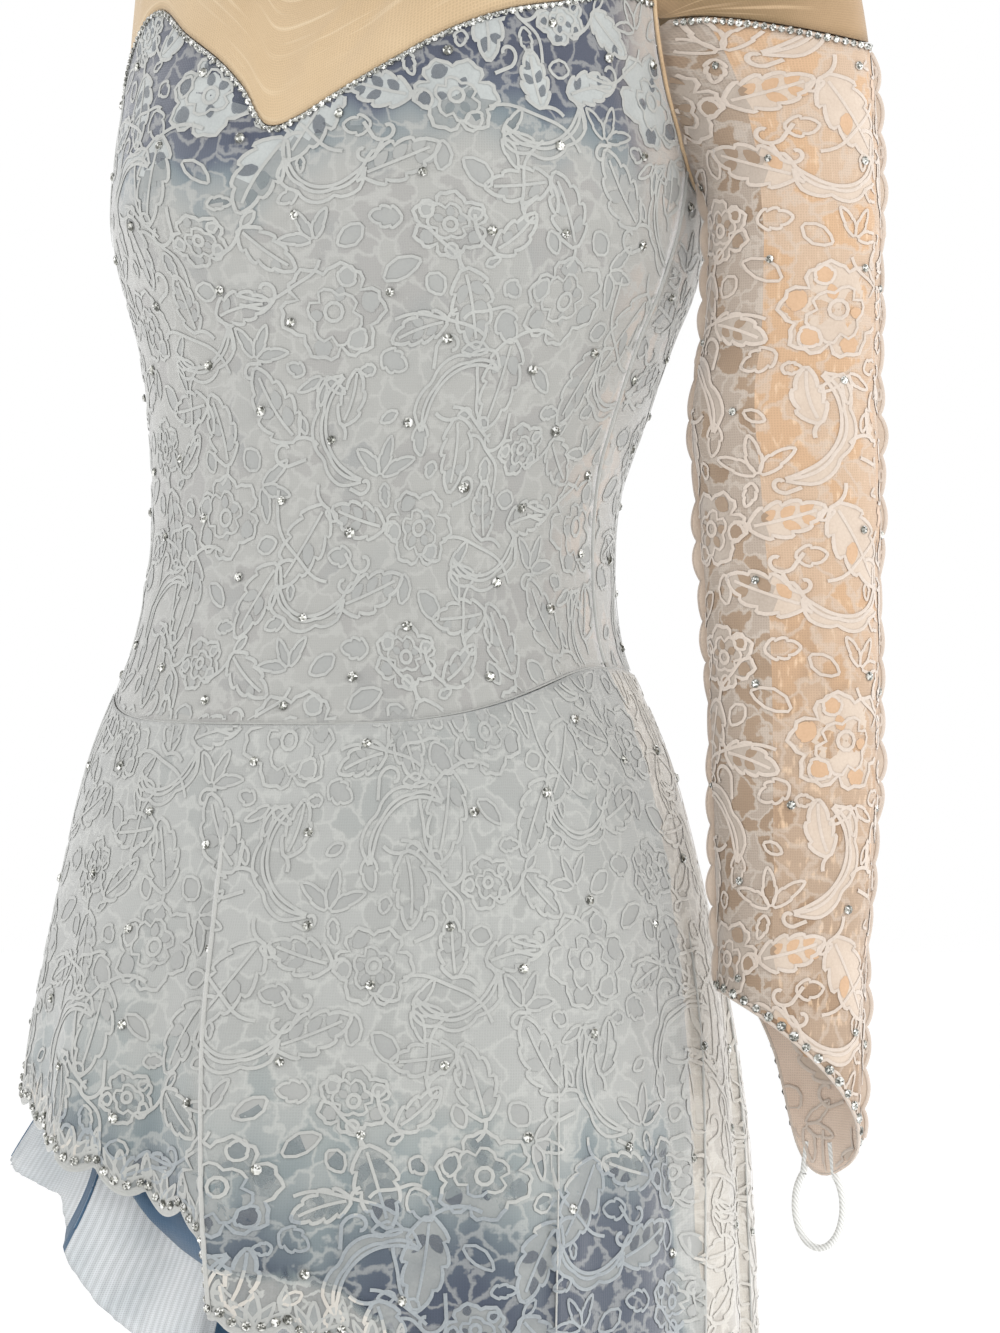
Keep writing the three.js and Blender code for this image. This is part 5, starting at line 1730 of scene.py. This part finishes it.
for word, sleeve in sleeves.items():
    cloth, outward = sleeveCloth(word), -sleeve["side"]
    check = insideSleeve(sleeve)
    addLoose(f"stones_sleeve_{word}", (20 + sleeve["side"], 24), looseStones["sleeveSpacing"], (6, 214, 180, 700),
             sleeveToPlace, cloth, lambda a, z: check(a, z - 8) & check(a, z + 8), looseStones["sleeveRadius"],
             0.5, outward)
    bandTurn = float(turnAtHeight(sleeve["bandZ"])) * 0.96
    turn = np.linspace(-bandTurn, bandTurn, 300)
    band = bandHeight(sleeve, turn)
    addRow(f"stones_band_{word}", cloth, turn, band - bandTrim["drop"], bandTrim, 26, outward)
    addTubes(f"band_cord_{word}", [liftOn(cloth, turn, band - 1.4, np.full(turn.shape, 0.3), outward)], 0.8,
             sleeveCord)
    turn = np.linspace(0, 359.2, 500)
    addRow(f"stones_cuff_{word}", cloth, turn, cuffZ(turn) + cuffTrim["rise"], cuffTrim, 28, outward)
    addTubes(f"cuff_cord_{word}", [liftOn(cloth, turn, cuffZ(turn) + 0.9, np.full(turn.shape, 0.1), outward)], 0.95,
             sleeveCord, closed=True)
print("stones are set")


# Bindings and seams, as round tubes of these radii.
seamRadius = {"neck": 1.5, "shoulder": 0.75, "armhole": 1.25, "side": 0.95, "pleat": 0.8, "waist": 0.5}


def seamPath(surface, first, second, lift, outward=1):
    return liftOn(surface, first, second, np.broadcast_to(lift, first.shape), outward)


part = np.linspace(-neckShare, neckShare, 120)
frontNeck = yokeTopPoint(part, (neck["frontY"], neck["frontZ"]))
backNeck = yokeTopPoint(part[::-1], (neck["backY"], neck["backZ"]))
addTubes("neck_binding", [np.concatenate([frontNeck, backNeck[1:-1]])], seamRadius["neck"], nudeBinding, 8,
         closed=True)
reach = np.linspace(neckShare, 0.985, 40)
seams = [yokeTopPoint(side * reach, (neck["frontY"], neck["frontZ"])) + (0, 0, 0.5) for side in (-1, 1)]
addTubes("shoulder_seams", seams, seamRadius["shoulder"], nudeBinding)
for word, sleeve in sleeves.items():
    turn = np.linspace(0, 357, 120)
    rim = armholePoint(sleeve["side"], turn)
    nextRim = sleeveUpperPoint(sleeve, turn, np.zeros(turn.shape))
    addTubes(f"armhole_seam_{word}", [(rim + nextRim) / 2 + unit(nextRim - rim) * 0.4], seamRadius["armhole"],
             nudeBinding, closed=True)
z = np.linspace(sideSeam["z"][0] + 2, waistSeam["sideZ"] + 2, 90)
sidePaths = [seamPath(bodyCloth, sideAngle(z), z, 0.1) * (side, 1, 1) for side in (-1, 1)]
addTubes("side_seams", sidePaths, seamRadius["side"], laceCord)
for number, (centre, lean, height, reach, topZ, radius) in enumerate(laceLaps):
    z = np.linspace(topZ - 10, float(laceHem(centre + 0.95)) + 2, 90)
    edge = centre + 0.95 + lean * (z - lapFootZ)
    lift = lerp(-1.6, 0.15, smooth((topZ - 10 - z) / 70))
    addTubes(f"fold_edge_{number}", [seamPath(laceSurface, edge, z, lift)], radius, foldThread)
meshSurface = skirtCloth("mesh")
for number, (centre, width, depth) in enumerate(meshPleats):
    z = np.linspace(float(hemZ("lace", centre)) + 8, float(hemZ("mesh", centre)) + 1, 50)
    path = seamPath(meshSurface, np.full(z.shape, centre + width * 0.9), z, 0.1)
    addTubes(f"pleat_edge_{number}", [path], seamRadius["pleat"], blueThread)
angle = np.linspace(-180, 178, 260)
addTubes("waist_seam", [seamPath(bodyCloth, angle, waistZ(angle), -0.3)], seamRadius["waist"], waistThread,
         closed=True)


# Soft area lights aimed at the middle of the dress.
def addLight(name, azimuth, height, distance, size, power):
    data = bpy.data.lights.new(name, "AREA")
    data.size = size
    data.energy = power
    item = bpy.data.objects.new(name, data)
    scene.collection.objects.link(item)
    turn = azimuth * degree
    item.location = (distance * math.sin(turn), -distance * math.cos(turn), height)
    aim = np.array((0, 0, -0.45)) - np.array(item.location)
    item.rotation_euler = (math.atan2(math.hypot(aim[0], aim[1]), -aim[2]), 0, math.atan2(aim[0], -aim[1]) + math.pi)


studio = {"floorZ": -1.38, "floorSize": 14, "glow": 0.78}
# azimuth in degrees, height, distance and size in metres, power in watts
for name, *settings in (("soft key", 66, 0.7, 2.6, 1.5, 35), ("soft fill", -45, 0.3, 3.0, 2.4, 32),
                        ("soft back", 205, 0.6, 3.0, 2.2, 24), ("soft side", 128, 0.2, 2.8, 1.8, 18)):
    addLight(name, *settings)


# White behind the dress, with a little less light from all round so that folds show.
def addWorld():
    world = bpy.data.worlds.new("white studio")
    world.use_nodes = True
    nodes, links = world.node_tree.nodes, world.node_tree.links
    lit = nodes["Background"]
    lit.inputs["Color"].default_value = (1, 1, 1, 1)
    lit.inputs["Strength"].default_value = studio["glow"]
    seen = nodes.new("ShaderNodeBackground")
    seen.inputs["Color"].default_value = (1, 1, 1, 1)
    seen.inputs["Strength"].default_value = 1.0
    mixed = nodes.new("ShaderNodeMixShader")
    links.new(nodes.new("ShaderNodeLightPath").outputs["Is Camera Ray"], mixed.inputs["Fac"])
    links.new(lit.outputs[0], mixed.inputs[1])
    links.new(seen.outputs[0], mixed.inputs[2])
    links.new(mixed.outputs[0], nodes["World Output"].inputs["Surface"])
    scene.world = world


addWorld()


def addFloor():
    sweep = np.linspace(0, 2 * math.pi, 65)[:-1]
    rings = [0.01, 2, 6, studio["floorSize"]]
    grid = np.stack([np.stack((np.cos(sweep) * r, np.sin(sweep) * r, np.full(64, studio["floorZ"])), -1)
                     for r in rings], axis=1) / metre
    faces = gridFaces(64, len(rings) - 1, True, False)[0]
    material, tree, shader = newMaterial("pale floor", 0.9)
    tone = addNoise(tree, addNode(tree, "TexCoord").outputs["Object"], 1.5, 2)
    tints = ((0.3, colour(250, 250, 250)), (0.7, colour(253, 253, 253)))
    tree.links.new(addRamp(tree, tone, tints), shader.inputs["Base Color"])
    shader.inputs["Emission Color"].default_value = (1, 1, 1, 1)
    shader.inputs["Emission Strength"].default_value = 0.26
    item = addMesh("floor", grid.reshape(-1, 3), faces[:, ::-1], [material])


addFloor()
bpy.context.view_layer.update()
meshes = [item for item in scene.objects if item.type == "MESH"]
counts = {item.name: len(item.data.loops) - 2 * len(item.data.polygons) for item in meshes}
print("lights and floor are set;", sum(counts.values()), "triangles, most in", max(counts, key=counts.get),
      max(counts.values()))
